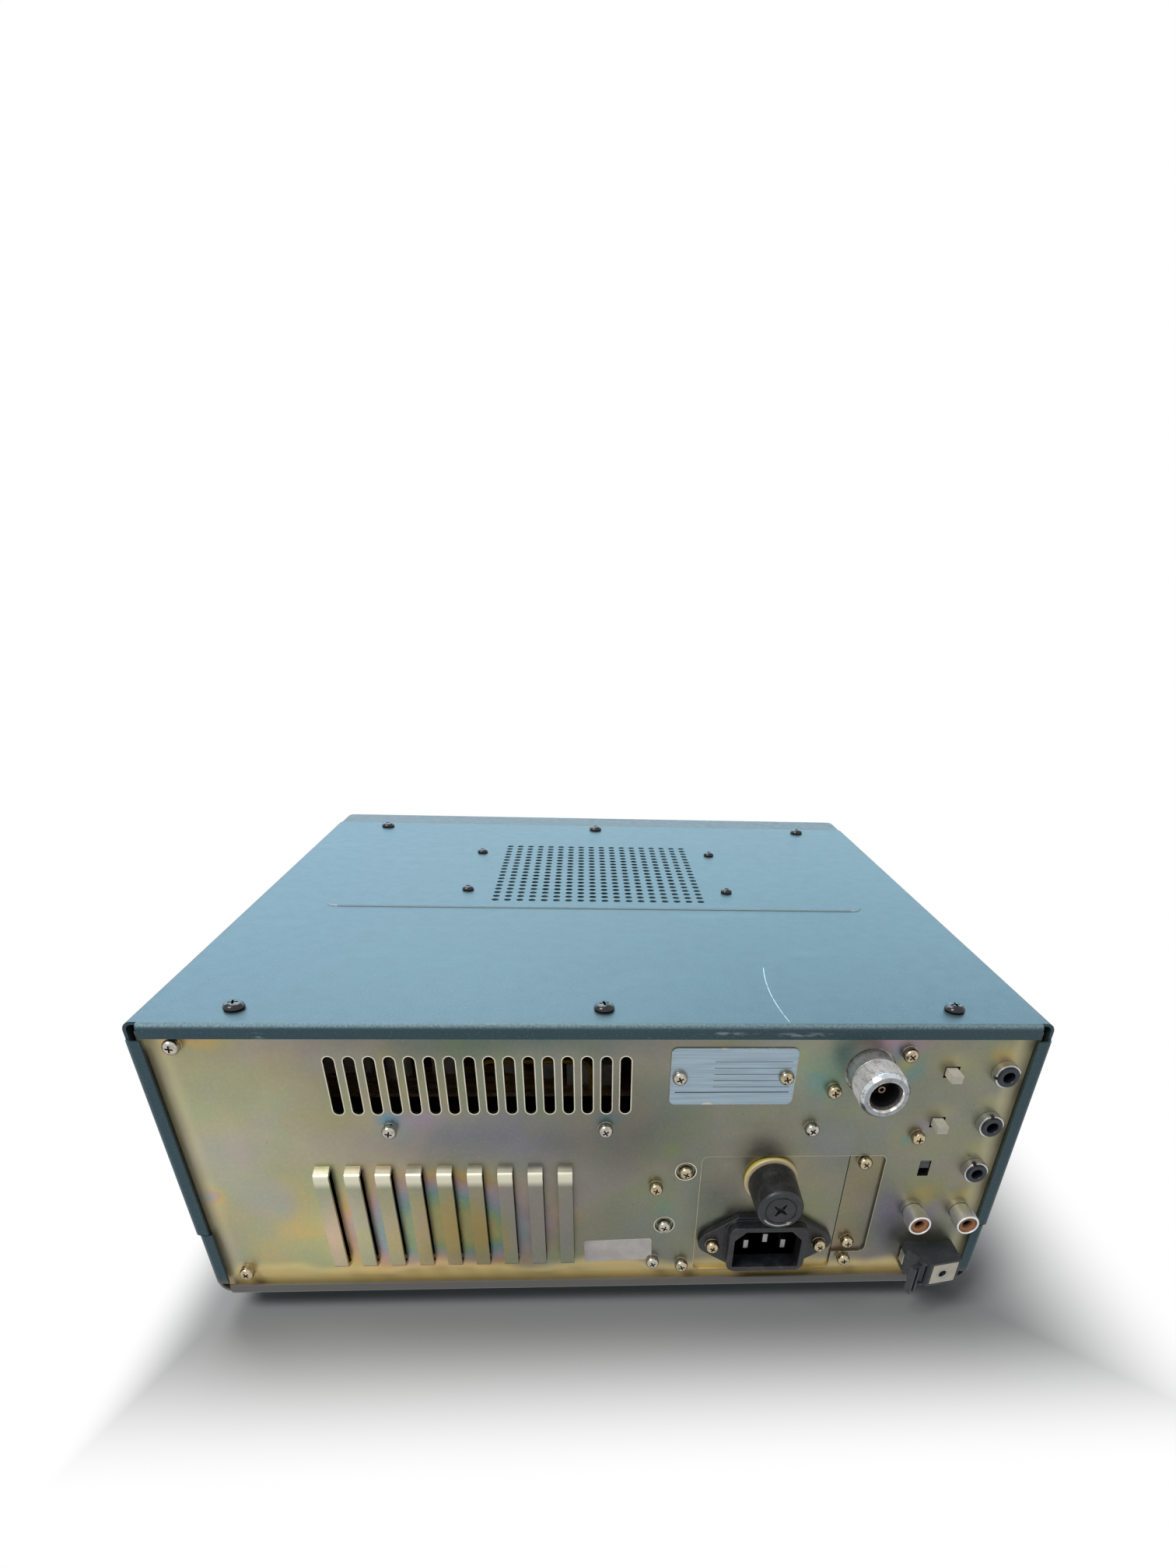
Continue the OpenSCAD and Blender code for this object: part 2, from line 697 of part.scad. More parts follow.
screw_reach = 3;
cover_head_d = 5.6;
cover_head_h = 2.3;
rear_head_d = 5;
rear_head_h = 2.3;
washer_h = 1.1;
washer_groove = 0.3;
speaker_head_d = 5;
speaker_head_h = 1.9;
speaker_shank_r = 1.2;

module pan_head(d, h) {
    cylinder(d = d, h = h / 2);
    translate([0, 0, h / 2]) cylinder(d1 = d, d2 = d * 0.7, h = h / 2);
}

module pan_screw(d, h, r, l) {
    pan_head(d, h);
    translate([0, 0, -l]) cylinder(r = r, h = l + h / 4);
}

// A pan screw that sits on a spring washer
module washer_screw(l) {
    cylinder(d = rear_head_d - washer_groove, h = washer_h + washer_groove);
    cylinder(d = rear_head_d, h = washer_h);
    translate([0, 0, washer_h + washer_groove]) pan_head(rear_head_d, rear_head_h);
    translate([0, 0, -l]) cylinder(r = shank_r, h = l + washer_h);
}

module cover_screws() color("#17181a") {
    cover_screw_l = cover_t + panel_t + screw_reach;
    top_view(top_z) at_cover_screws() pan_screw(cover_head_d, cover_head_h, shank_r, cover_screw_l);
    top_view(base_z) mirror([0, 0, 1]) at_cover_screws()
        pan_screw(cover_head_d, cover_head_h, shank_r, cover_screw_l);
    top_view(top_z + field_rise) at_speaker_screws()
        pan_screw(speaker_head_d, speaker_head_h, speaker_shank_r, cover_t + basket_t + screw_reach);
}

module rear_screws() color("#c9c4a6") {
    rear_view(panel_y) at_points(panel_screws) washer_screw(2 * panel_t + screw_reach);
    rear_view(plate_y) at_points(concat(unit_inner_screws, strip_screws)) washer_screw(panel_t + screw_reach);
    rear_view(panel_y + rating_t) for (s = [-1, 1])
        translate([rating_mid + s * rating_screws / 2, case_h - rating_drop, 0])
            pan_screw(rear_head_d, rear_head_h, shank_r, rating_t + panel_t + screw_reach);
    rear_view(plate_y + inlet_flange_t) for (s = [-1, 1])
        translate([inlet_u + s * inlet_screws / 2, inlet_z, 0])
            washer_screw(inlet_flange_t + panel_t + screw_reach);
}

// Antenna socket
antenna_flange_w = 25.4;
antenna_flange_t = 2.5;
antenna_corner = 3;
antenna_flange_turn = atan2(flange_screw[1], flange_screw[0]) - 45;
antenna_plain = 6;
antenna_relief = 0.7;
antenna_nose = 2;
antenna_chamfer = 1.1;
antenna_deep = 11;
antenna_tail = 8;
contact_d = 3.1;
contact_hole = 1.7;
contact_short = 5;

module antenna_socket() color("#bfc3c6") rear_view(panel_y)
    translate([antenna_u, antenna_z, 0]) difference() {
    union() {
        translate([0, 0, -panel_t - antenna_flange_t]) linear_extrude(antenna_flange_t)
            rotate(antenna_flange_turn) round_rect(antenna_flange_w, antenna_flange_w, antenna_corner);
        translate([0, 0, -panel_t - antenna_flange_t - antenna_tail])
            cylinder(d = antenna_d - 4, h = antenna_tail + panel_t);
        translate([0, 0, -panel_t - fit_gap])
            cylinder(d = antenna_d - antenna_relief, h = antenna_reach - antenna_nose);
        translate([0, 0, antenna_plain])
            cylinder(d = antenna_d, h = antenna_reach - antenna_nose - antenna_plain);
        translate([0, 0, antenna_reach - antenna_nose])
            cylinder(d1 = antenna_d, d2 = antenna_d - 2 * antenna_chamfer, h = antenna_nose);
    }
    translate([0, 0, antenna_reach - antenna_deep]) cylinder(d = antenna_bore, h = antenna_deep + cut);
    for (s = [-1, 1]) translate([s * flange_screw[0], s * flange_screw[1], -panel_t - antenna_flange_t - cut])
        cylinder(r = screw_hole_r, h = antenna_flange_t + 2 * cut);
}

module antenna_contact() color("#c8a24c") rear_view(panel_y)
    translate([antenna_u, antenna_z, antenna_reach - antenna_deep]) difference() {
        cylinder(d = contact_d, h = antenna_deep - contact_short);
        translate([0, 0, contact_hole]) cylinder(d = contact_hole, h = antenna_deep);
    }

// Push switches and the slide switch
push_inside = 6;
push_room = push_travel + 2;
push_body_w = 10;
push_body_h = 8;
push_body_l = push_inside + push_room + 3;

module push_button(row) {
    rear_view(panel_y) translate([switch_u - push_w / 2, row_z(row) - push_h / 2, -panel_t - push_inside])
        cube([push_w, push_h, push_reach + panel_t + push_inside]);
}

module upper_push_button() color("#d8cfba") push_button(0);
module lower_push_button() color("#d8cfba") push_button(1);

module push_switches() color("#3a3c3e") rear_view(plate_y) for (row = [0, 1])
    translate([switch_u, row_z(row), 0]) difference() {
        translate([-push_body_w / 2, -push_body_h / 2, -push_body_l])
            cube([push_body_w, push_body_h, push_body_l]);
        translate([-push_w / 2 - slide_gap, -push_h / 2 - slide_gap, -push_inside - push_room])
            cube([push_w + 2 * slide_gap, push_h + 2 * slide_gap, push_inside + push_room + cut]);
    }

slide_body_w = 8;
slide_body_h = 14;
slide_body_t = 6;
slide_deep = 3.5;
slide_knob_h = slide_h - slide_travel - 2 * slide_gap;

module slide_switch() color("#2a2b2d") rear_view(plate_y) translate([switch_u, row_z(2), 0]) difference() {
    translate([-slide_body_w / 2, -slide_body_h / 2, -slide_body_t])
        cube([slide_body_w, slide_body_h, slide_body_t]);
    translate([-slide_w / 2, -slide_h / 2, -slide_deep]) cube([slide_w, slide_h, slide_deep + cut]);
}

module slide_knob() color("#3b3d40") rear_view(plate_y)
    translate([-slide_w / 2 + slide_gap + switch_u, row_z(2) + slide_h / 2 - slide_gap - slide_knob_h,
        -slide_deep + slide_gap])
        cube([slide_w - 2 * slide_gap, slide_knob_h, slide_deep + panel_t - 2 * slide_gap]);

// Small jacks and phono sockets
jack_ring_h = 3.2;
jack_face_d = jack_ring - 1.4;
jack_notch = 1.2;
jack_body_w = 9.6;
jack_body_l = 12;
jack_bore_in = 10;

module at_jacks() { rear_view(panel_y) for (row = [0 : 2]) translate([jack_u, row_z(row), 0]) children(); }

module jack_rings() color("#b9bbb8") at_jacks() difference() {
    cylinder(d = jack_ring, h = jack_ring_h);
    translate([0, 0, -cut]) cylinder(d = jack_neck_d + 2 * jack_neck_gap, h = jack_ring_h + 2 * cut);
    translate([-jack_ring, -jack_notch / 2, jack_ring_h / 2]) cube([2 * jack_ring, jack_notch, jack_ring_h]);
}

module jack_sockets() color("#1c1e22") at_jacks() difference() {
    union() {
        translate([0, 0, jack_ring_h]) cylinder(d = jack_face_d, h = jack_reach - jack_ring_h);
        translate([0, 0, -panel_t]) cylinder(d = jack_neck_d, h = jack_ring_h + panel_t);
        translate([-jack_body_w / 2, -jack_body_w / 2, -panel_t - jack_body_l])
            cube([jack_body_w, jack_body_w, jack_body_l]);
    }
    translate([0, 0, -panel_t - jack_bore_in])
        cylinder(d = jack_bore, h = jack_bore_in + panel_t + jack_reach + cut);
}

phono_neck_h = 2.8;
phono_bore = 6.5;
phono_flange_d = 11;
phono_flange_t = 1;
phono_lip = 0.6;
phono_hole = 3.3;
phono_sink = 0.8;
phono_tail = 6;
phono_floor = 3;

module at_phonos() { rear_view(panel_y) for (u = [switch_u, jack_u]) translate([u, row_z(3), 0]) children(); }

module phono_shells() color("#bfc0be") at_phonos() difference() {
    union() {
        translate([0, 0, -panel_t - phono_flange_t]) cylinder(d = phono_flange_d, h = phono_flange_t);
        translate([0, 0, -panel_t]) cylinder(d = phono_neck_d, h = panel_t + phono_neck_h);
        translate([0, 0, phono_neck_h]) cylinder(d = phono_d, h = phono_reach - phono_neck_h - phono_lip);
        translate([0, 0, phono_reach - phono_lip])
            cylinder(d1 = phono_d, d2 = phono_d - 2 * phono_lip, h = phono_lip);
    }
    translate([0, 0, -panel_t - phono_flange_t - cut])
        cylinder(d = phono_bore, h = panel_t + phono_flange_t + phono_reach + 2 * cut);
}

module phono_insulators() color("#c07840") at_phonos() difference() {
    translate([0, 0, -panel_t - phono_tail])
        cylinder(d = phono_bore - 2 * shaft_gap, h = panel_t + phono_tail + phono_reach - phono_sink);
    translate([0, 0, -panel_t - phono_tail + phono_floor])
        cylinder(d = phono_hole, h = panel_t + phono_tail + phono_reach);
}

// Wire terminal, drawn in plan: across and out from the panel
term_turn_run = 2.4;
term_chamfer = [3.9, 4.7];
term_face_at = 6.5;
term_left_reach = 5;
term_cap = 1.2;
face_a = [term_u + term_face_at, term_reach];
face_b = [term_u + term_w, term_reach - term_turn_run];
face_l = norm(face_b - face_a);
face_turn = atan2(face_b[1] - face_a[1], face_b[0] - face_a[0]);
insert_rim = 0.8;
insert_t = 6;
insert_hole = 3.4;
insert_hole_l = 5;
lever_pivot = [face_a[0] - 2.2, face_a[1] - 2.6];
lever_turn = 157;
lever_l = 5.6;
lever_t = 1.8;
lever_drop = 2.5;
lever_hub_r = 1.5;
lever_pin_r = 0.8;
lever_room = 1.9;
lever_ear = 2;
lever_wide_from = 2.7;
lever_rib = 0.9;

module term_plan() { translate([0, panel_y, base_z + term_z]) mirror([1, 0, 0]) children(); }
module term_face() { translate([face_a[0], face_a[1], 0]) rotate(face_turn) children(); }

module terminal_body() color("#22262d") term_plan() difference() {
    union() {
        linear_extrude(term_h) polygon([
            [term_u, 0], [term_u + term_w, 0], face_b, face_a, face_a - term_chamfer,
            [term_u, term_left_reach]
        ]);
        translate([term_u + term_foot, -panel_t - insert_t, term_foot])
            cube([term_hole_w, panel_t + insert_t + fit_gap, term_hole_h]);
        translate([lever_pivot[0], lever_pivot[1], 0]) cylinder(r = lever_ear, h = term_h);
    }
    term_face() translate([insert_rim, -insert_t, insert_rim])
        cube([face_l - 2 * insert_rim, insert_t + cut, term_h - 2 * insert_rim]);
    translate([lever_pivot[0], lever_pivot[1], 0]) {
        translate([0, 0, term_cap]) cylinder(r = lever_room, h = term_h - 2 * term_cap);
        translate([0, 0, term_cap]) linear_extrude(term_h - 2 * term_cap) rotate(lever_turn)
            translate([0, -lever_ear]) square([2 * lever_ear, 2 * lever_ear]);
        translate([0, 0, -cut]) cylinder(r = lever_pin_r + shaft_gap, h = term_h + 2 * cut);
    }
}

module terminal_insert() color("#cdbfa6") term_plan() term_face() difference() {
    translate([insert_rim + fit_gap, -insert_t, insert_rim + fit_gap])
        cube([face_l - 2 * insert_rim - 2 * fit_gap, insert_t, term_h - 2 * insert_rim - 2 * fit_gap]);
    translate([face_l * 0.44, -insert_hole_l, term_h / 2]) rotate([-90, 0, 0])
        cylinder(d = insert_hole, h = insert_hole_l + cut);
}

// Plan of the lever's thumb plate with its two ribs, from a distance off its pivot
module lever_shape(from) {
    translate([from, -lever_t / 2]) square([lever_l - from, lever_t]);
    for (at = [lever_wide_from, lever_l - lever_rib])
        translate([at, -lever_t / 2 - lever_rib]) square([lever_rib, lever_t]);
}

module terminal_lever() color("#1b1e24") term_plan() translate([lever_pivot[0], lever_pivot[1], 0]) {
    z_low = term_cap + slide_gap;
    z_high = term_h - term_cap - slide_gap;
    translate([0, 0, z_low]) linear_extrude(z_high - z_low) {
        circle(lever_hub_r);
        rotate(lever_turn) lever_shape(0);
    }
    translate([0, 0, -lever_drop]) linear_extrude(z_low + lever_drop)
        rotate(lever_turn) lever_shape(lever_wide_from);
    cylinder(r = lever_pin_r, h = z_low);
    translate([0, 0, z_high]) cylinder(r = lever_pin_r, h = term_h - z_high);
}

clip_t = 0.6;
clip_l = 3.6;
clip_h = 5;

module terminal_clip() color("#c3c4bf") term_plan()
    translate([term_u - clip_t, term_left_reach - clip_l - clip_t, term_h / 2 - clip_h / 2])
        cube([clip_t, clip_l, clip_h]);

// Fuse holder
fuse_flange_t = 2.2;
fuse_gap = 0.3;
fuse_bore = 9.6;
fuse_body_l = 28;
fuse_floor = 2;
fuse_nut_d = 19;
fuse_nut_t = 3;
fuse_taper = 1.2;
fuse_edge = 0.6;
fuse_shank_gap = 0.1;
fuse_shank_l = 8;
fuse_link_d = 5.2;
fuse_link_l = 20;
fuse_slot_l = 6.4;
fuse_slot_w = 1.3;
fuse_slot_h = 1.6;
fuse_head_l = fuse_reach + panel_t - fuse_flange_t - fuse_gap;

module at_fuse() { rear_view(plate_y) translate([fuse_u, fuse_z, 0]) children(); }

module fuse_holder() color("#e3cd96") at_fuse() difference() {
    union() {
        cylinder(d = fuse_ring, h = fuse_flange_t);
        translate([0, 0, -fuse_body_l]) cylinder(d = fuse_body_d, h = fuse_body_l + fit_gap);
        translate([0, 0, -panel_t - fuse_nut_t]) cylinder(d = fuse_nut_d, h = fuse_nut_t, $fn = 6);
    }
    translate([0, 0, fuse_floor - fuse_body_l]) cylinder(d = fuse_bore, h = fuse_body_l + fuse_flange_t);
}

module fuse_cap() color("#15171c") at_fuse() difference() {
    union() {
        translate([0, 0, -fuse_shank_l])
            cylinder(d = fuse_bore - 2 * fuse_shank_gap,
                h = fuse_shank_l + fuse_flange_t + fuse_gap + fit_gap);
        translate([0, 0, fuse_flange_t + fuse_gap])
            cylinder(d1 = fuse_cap_d, d2 = fuse_cap_d - fuse_taper, h = fuse_head_l - fuse_edge);
        translate([0, 0, fuse_flange_t + fuse_gap + fuse_head_l - fuse_edge])
            cylinder(d1 = fuse_cap_d - fuse_taper, d2 = fuse_cap_d - fuse_taper - 2 * fuse_edge,
                h = fuse_edge);
    }
    translate([0, 0, -fuse_shank_l - cut])
        cylinder(d = fuse_link_d + 2 * fuse_gap,
            h = fuse_shank_l + cut + fuse_gap + fuse_link_l + fuse_floor - fuse_body_l);
    translate([0, 0, fuse_flange_t + fuse_gap + fuse_head_l - fuse_slot_h]) for (a = [45, 135]) rotate(a)
        translate([-fuse_slot_l / 2, -fuse_slot_w / 2, 0])
            cube([fuse_slot_l, fuse_slot_w, fuse_slot_h + cut]);
}

module fuse_link() color("#d7dcdc") at_fuse() translate([0, 0, fuse_floor - fuse_body_l])
    cylinder(d = fuse_link_d, h = fuse_link_l);

// Mains inlet
inlet_flange_t = 3;
inlet_ear_r = 5;
inlet_block = [11, 12];
inlet_corner = 3.5;
inlet_chamfer = 4;
inlet_floor = 2;
pin_size = [2, 4];
pin_short = 5;
pin_pitch = 7;
pin_rise = 1.4;
pin_drop = 1.4;

// Where a line from a point touches a circle of radius r about c, on the side given by s
function touch_point(c, r, p, s) =
    let (d = p - c, a = atan2(d[1], d[0]) + s * acos(r / norm(d))) c + r * [cos(a), sin(a)];

module inlet_flange_shape() {
    ear = [inlet_screws / 2, 0];
    tangent = touch_point(ear, inlet_ear_r, inlet_block, -1);
    for (s = [-1, 1]) translate([s * inlet_screws / 2, 0]) circle(inlet_ear_r);
    polygon([
        inlet_block, tangent, [tangent[0], -tangent[1]], [inlet_block[0], -inlet_block[1]], -inlet_block,
        -tangent, [-tangent[0], tangent[1]], [-inlet_block[0], inlet_block[1]]
    ]);
}

module inlet_socket_shape() {
    w = inlet_w / 2;
    h = inlet_h / 2;
    polygon([[-w, -h], [w, -h], [w, h - inlet_chamfer], [w - inlet_chamfer, h], [inlet_chamfer - w, h],
        [-w, h - inlet_chamfer]]);
}

module at_inlet() { rear_view(plate_y) translate([inlet_u, inlet_z, 0]) children(); }

module mains_inlet() color("#191b20") at_inlet() difference() {
    union() {
        linear_extrude(inlet_flange_t) inlet_flange_shape();
        linear_extrude(inlet_reach)
            round_rect(inlet_w + 2 * inlet_wall, inlet_h + 2 * inlet_wall, inlet_corner);
        translate([0, 0, inlet_reach - inlet_deep - inlet_floor])
            linear_extrude(inlet_deep + inlet_floor - inlet_reach + fit_gap)
                square([inlet_back_w, inlet_back_h], center = true);
    }
    translate([0, 0, inlet_reach - inlet_deep]) linear_extrude(inlet_deep + cut) inlet_socket_shape();
    for (s = [-1, 1]) translate([s * inlet_screws / 2, 0, -cut])
        cylinder(r = screw_hole_r, h = inlet_flange_t + 2 * cut);
}

module inlet_pins() color("#c9c9c6") at_inlet() translate([0, 0, inlet_reach - inlet_deep])
    for (at = [[0, pin_rise], [-pin_pitch, -pin_drop], [pin_pitch, -pin_drop]])
        translate([at[0] - pin_size[0] / 2, at[1] - pin_size[1] / 2, 0])
            cube([pin_size[0], pin_size[1], inlet_deep - pin_short]);

// Power supply
core_size = [60, 30, 46];
core_leg = 20;
core_window = [10, 26];
coil_end = 7;
core_depth = deck_rear + 8;

module at_core() {
    top_view(base_z + deck_z - core_size[2])
        translate([inlet_u, core_depth + core_size[1] / 2, 0]) children();
}

module transformer_core() color("#6d6558") at_core() difference() {
    translate([-core_size[0] / 2, -core_size[1] / 2, 0]) cube(core_size);
    for (s = [-1, 1])
        translate([s * (core_leg + core_window[0]) / 2 - core_window[0] / 2, -core_size[1],
            (core_size[2] - core_window[1]) / 2])
            cube([core_window[0], 2 * core_size[1], core_window[1]]);
}

module transformer_winding() color("#8a3f2a") at_core() difference() {
    w = core_leg + 2 * core_window[0] - 2 * fit_gap;
    h = core_window[1] - 2 * fit_gap;
    l = core_size[1] + 2 * coil_end;
    translate([-w / 2, -l / 2, (core_size[2] - h) / 2]) cube([w, l, h]);
    translate([-core_leg / 2 - fit_gap, -core_size[1] / 2 - fit_gap, 0])
        cube([core_leg + 2 * fit_gap, core_size[1] + 2 * fit_gap, core_size[2]]);
}

sink_w = 84;
sink_base = 4;
sink_fin = 2;
sink_fins = 9;
sink_low = 10;
sink_depth = [16, deck_rear + 18];

module heat_sink() color("#5a5d60") top_view(base_z + sink_low) linear_extrude(deck_z - sink_low) {
    translate([louvre_mid - sink_w / 2, sink_depth[1] - sink_base]) square([sink_w, sink_base]);
    for (i = [0 : sink_fins - 1])
        translate([louvre_mid - sink_w / 2 + i * (sink_w - sink_fin) / (sink_fins - 1), sink_depth[0]])
            square([sink_fin, sink_depth[1] - sink_depth[0]]);
}

// Parts on the deck and the upper board
box_gap = 10;
box_rear = 12;
box_front = 41;
box_u = [upper_board_right + box_gap, frame_in - board_side];
box_depth = [deck_rear + box_rear, deck_front - box_front];
box_h = 24;
lid_t = 1;
lid_over = 0.6;

module shield_box() color("#c4c6c4") top_view(base_z + deck_top) {
    translate([box_u[0], box_depth[0], 0]) difference() {
        cube([box_u[1] - box_u[0], box_depth[1] - box_depth[0], box_h]);
        translate([lid_t, lid_t, -cut])
            cube([box_u[1] - box_u[0] - 2 * lid_t, box_depth[1] - box_depth[0] - 2 * lid_t, box_h + cut]);
    }
    translate([box_u[0] - lid_over, box_depth[0] - lid_over, box_h])
        cube([box_u[1] - box_u[0] + 2 * lid_over, box_depth[1] - box_depth[0] + 2 * lid_over, lid_t]);
}

header_size = [9, 5, 9];
header_us = [for (u = [29, 17]) upper_board_right - u];
can_size = 10;
can_h = 13;
can_us = [for (u = [15, 29, 63, 89]) board_left + u];
capacitor_d = 10;
capacitor_h = 15;
capacitor_us = [for (u = [45, 103]) board_left + u];
parts_in = 6;
parts_depth = upper_board_depth[0] + parts_in;

module board_parts() color("#d9d6cc") top_view(base_z + deck_top + board_rise + board_t) {
    for (u = header_us) translate([u - header_size[0] / 2, parts_depth, 0]) cube(header_size);
    for (u = can_us) translate([u - can_size / 2, parts_depth + can_size, 0])
        cube([can_size, can_size, can_h]);
    for (u = capacitor_us) translate([u, parts_depth + capacitor_d, 0])
        cylinder(d = capacitor_d, h = capacitor_h);
}

// A lead that stands up from the board and crosses behind the slots
lead_r = 0.8;
lead_us = [for (u = [66, 24]) upper_board_right - u];
lead_rise = 12;
lead_bend = 4;
lead_in = 3;
lead_depth = upper_board_depth[0] + lead_in;

module signal_lead() color("#d9a823") top_view(base_z + deck_top + board_rise + board_t)
    translate([0, lead_depth, 0]) {
        for (u = lead_us) translate([u, 0, 0]) cylinder(r = lead_r, h = lead_rise - lead_bend);
        translate([lead_us[0] + lead_bend, 0, lead_rise]) rotate([0, 90, 0])
            cylinder(r = lead_r, h = lead_us[1] - lead_us[0] - 2 * lead_bend);
        translate([lead_us[0] + lead_bend, 0, lead_rise - lead_bend]) rotate([90, 0, 0]) rotate([0, 0, 90])
            rotate_extrude(angle = 90) translate([lead_bend, 0]) circle(lead_r);
        translate([lead_us[1] - lead_bend, 0, lead_rise - lead_bend]) rotate([90, 0, 0])
            rotate_extrude(angle = 90) translate([lead_bend, 0]) circle(lead_r);
    }

// Loudspeaker, hung under the grille
basket_t = 1.5;
basket_over = 6;
basket_l = 94;
basket_corner = 4;
cone_r = 39;
rim_r = 42;
rim_drop = 5;
basket_low = 22;
magnet_r = 21;
magnet_h = 12;
cone_t = 0.6;
cone_low = 17;
cone_neck = 12;
cone_dome = 3;
cone_gap = 0.3;

module at_speaker() { top_view(top_z - cover_t + field_rise) translate([0, grille_depth, 0]) children(); }

module speaker_basket() color("#9aa3a0") {
    at_speaker() {
        translate([0, 0, -basket_t]) linear_extrude(basket_t) difference() {
            round_rect(2 * (speaker_screw_u + basket_over), basket_l, basket_corner);
            circle(cone_r);
            for (sx = [-1, 1], sy = [-1, 1])
                translate([sx * speaker_screw_u, sy * speaker_screw_l / 2]) circle(speaker_hole_r);
        }
        rotate_extrude() polygon([
            [cone_r, -basket_t], [rim_r, -basket_t], [rim_r, -rim_drop], [magnet_r, -basket_low],
            [magnet_r, -basket_low - magnet_h], [0, -basket_low - magnet_h], [0, -basket_low],
            [magnet_r - basket_t, -basket_low], [cone_r, -rim_drop - basket_t]
        ]);
    }
}

module speaker_cone() color("#1a1a1b") at_speaker() rotate_extrude() polygon([
    [cone_r - cone_gap, -basket_t], [cone_r - cone_gap - 2, -basket_t], [cone_neck, -cone_low],
    [0, -cone_low + cone_dome], [0, -cone_low + cone_dome - cone_t], [cone_neck, -cone_low - cone_t],
    [cone_r - cone_gap, -basket_t - 3 * cone_t]
]);

// Windows, display and meter
glass_over = 3;
module front_windows() color("#5a6a66") front_view(glass_y + glass_t) linear_extrude(glass_t) {
    translate([display_x, display_z]) round_rect(display_w + 2 * glass_over, display_h + 2 * glass_over, 2);
    translate([meter_x, display_z]) round_rect(meter_w + 2 * glass_over, meter_h + 2 * glass_over, 2);
}

module display_module() color("#20302c") front_view(board_y) linear_extrude(display_t)
    translate([display_x, display_z]) square([display_w + glass_over, display_h + glass_over], center = true);

meter_wall = 1.5;
meter_back = 2;
meter_deep = joint_y - glass_y - glass_t;
needle_hub_r = 2.2;
needle_pin_r = 0.8;
needle_t = 1.6;
needle_l = 16;
needle_w = 0.9;
needle_rest = 40;
needle_drop = meter_h / 2 - 3;

module meter_case() color("#e6e0cc") front_view(joint_y) translate([meter_x, display_z, 0]) {
    difference() {
        linear_extrude(meter_deep) square([meter_w + glass_over, meter_h + glass_over], center = true);
        translate([0, 0, meter_back]) linear_extrude(meter_deep) square(
            [meter_w + glass_over - 2 * meter_wall, meter_h + glass_over - 2 * meter_wall], center = true);
    }
    translate([0, -needle_drop, meter_back]) cylinder(r = needle_pin_r, h = needle_t + 2 * slide_gap);
}

module meter_needle() color("#b03a20") front_view(joint_y)
    translate([meter_x, display_z - needle_drop, meter_back + slide_gap]) difference() {
        union() {
            cylinder(r = needle_hub_r, h = needle_t);
            rotate(needle_rest) translate([-needle_w / 2, 0, 0]) cube([needle_w, needle_l, needle_t / 2]);
        }
        translate([0, 0, -cut]) cylinder(r = needle_pin_r + shaft_gap, h = needle_t + 2 * cut);
    }

// Knobs on their shafts, and the bodies that carry the shafts
knob_gap = 1;
knob_skirt = 3;
shaft_in = 8;
control_d = [26, 17];
control_l = [13, 10];
bush_front = 5;

// Shaft, skirt and grip of a knob, standing off the front panel
module knob(d, reach) {
    l = reach + bezel_lip - knob_gap;
    translate([0, 0, knob_gap - (joint_y + panel_t + shaft_in - fascia_y)])
        cylinder(r = shaft_r, h = joint_y + panel_t + shaft_in - fascia_y);
    translate([0, 0, knob_gap]) cylinder(d = d, h = knob_skirt);
    translate([0, 0, knob_gap]) difference() {
        cylinder(d1 = d - 2, d2 = d - 5, h = l);
        children();
    }
}

dimple_d = 13;
dimple_h = 2.5;

module tuning_knob() color("#2b2d2f") front_view(fascia_y) translate([tuning_at, tuning_z, 0])
    knob(tuning_d, tuning_reach)
        translate([tuning_d * 0.25, tuning_d * 0.12, tuning_reach + bezel_lip - knob_gap - dimple_h])
            cylinder(d1 = dimple_d - 4, d2 = dimple_d, h = dimple_h + 0.01);

module small_knob(i) {
    front_view(fascia_y) translate([knob_xs[i], knob_z, 0]) knob(knob_d, knob_reach)
        translate([-0.6, knob_d / 6, knob_reach + bezel_lip - knob_gap - 1]) cube([1.2, knob_d, 2]);
}

module gain_knob() color("#2f3133") small_knob(0);
module squelch_knob() color("#2f3133") small_knob(1);

module shaft_body(d, l) {
    difference() {
        union() {
            translate([0, 0, -l]) cylinder(d = d, h = l);
            translate([0, 0, -cut]) cylinder(r = bush_r, h = cut + panel_t + bush_front);
        }
        translate([0, 0, -shaft_in - knob_gap])
            cylinder(r = shaft_r + shaft_gap, h = shaft_in + l + bush_front);
    }
}

key_reach = 1.5;
key_back = 0.5;
key_stem = [4, 3];
key_switch = [10, 8, 6.4];
key_in = 3;
power_reach = 3;
power_travel = 2.8;
power_switch = [16, 12, 10];
power_in = 4;

// The body of a switch that guides a square stem
module stem_switch(size, stem, deep) {
    difference() {
        translate([-size[0] / 2, -size[1] / 2, 0]) cube(size);
        translate([-stem[0] / 2 - slide_gap, -stem[1] / 2 - slide_gap, size[2] - deep])
            cube([stem[0] + 2 * slide_gap, stem[1] + 2 * slide_gap, deep + cut]);
    }
}

module control_bodies() color("#8d8f90") {
    front_view(joint_y + panel_t) {
        translate([tuning_at, tuning_z, 0]) shaft_body(control_d[0], control_l[0]);
        for (x = knob_xs) translate([x, knob_z, 0]) shaft_body(control_d[1], control_l[1]);
    }
    front_view(board_y) for (i = [0 : key_n - 1]) translate([key_x(i), key_z, 0])
        stem_switch(key_switch, key_stem, key_in + key_travel + slide_gap);
    front_view(joint_y) translate([power_x, power_z, 0])
        stem_switch(power_switch, key_stem, power_in + power_travel + slide_gap);
}

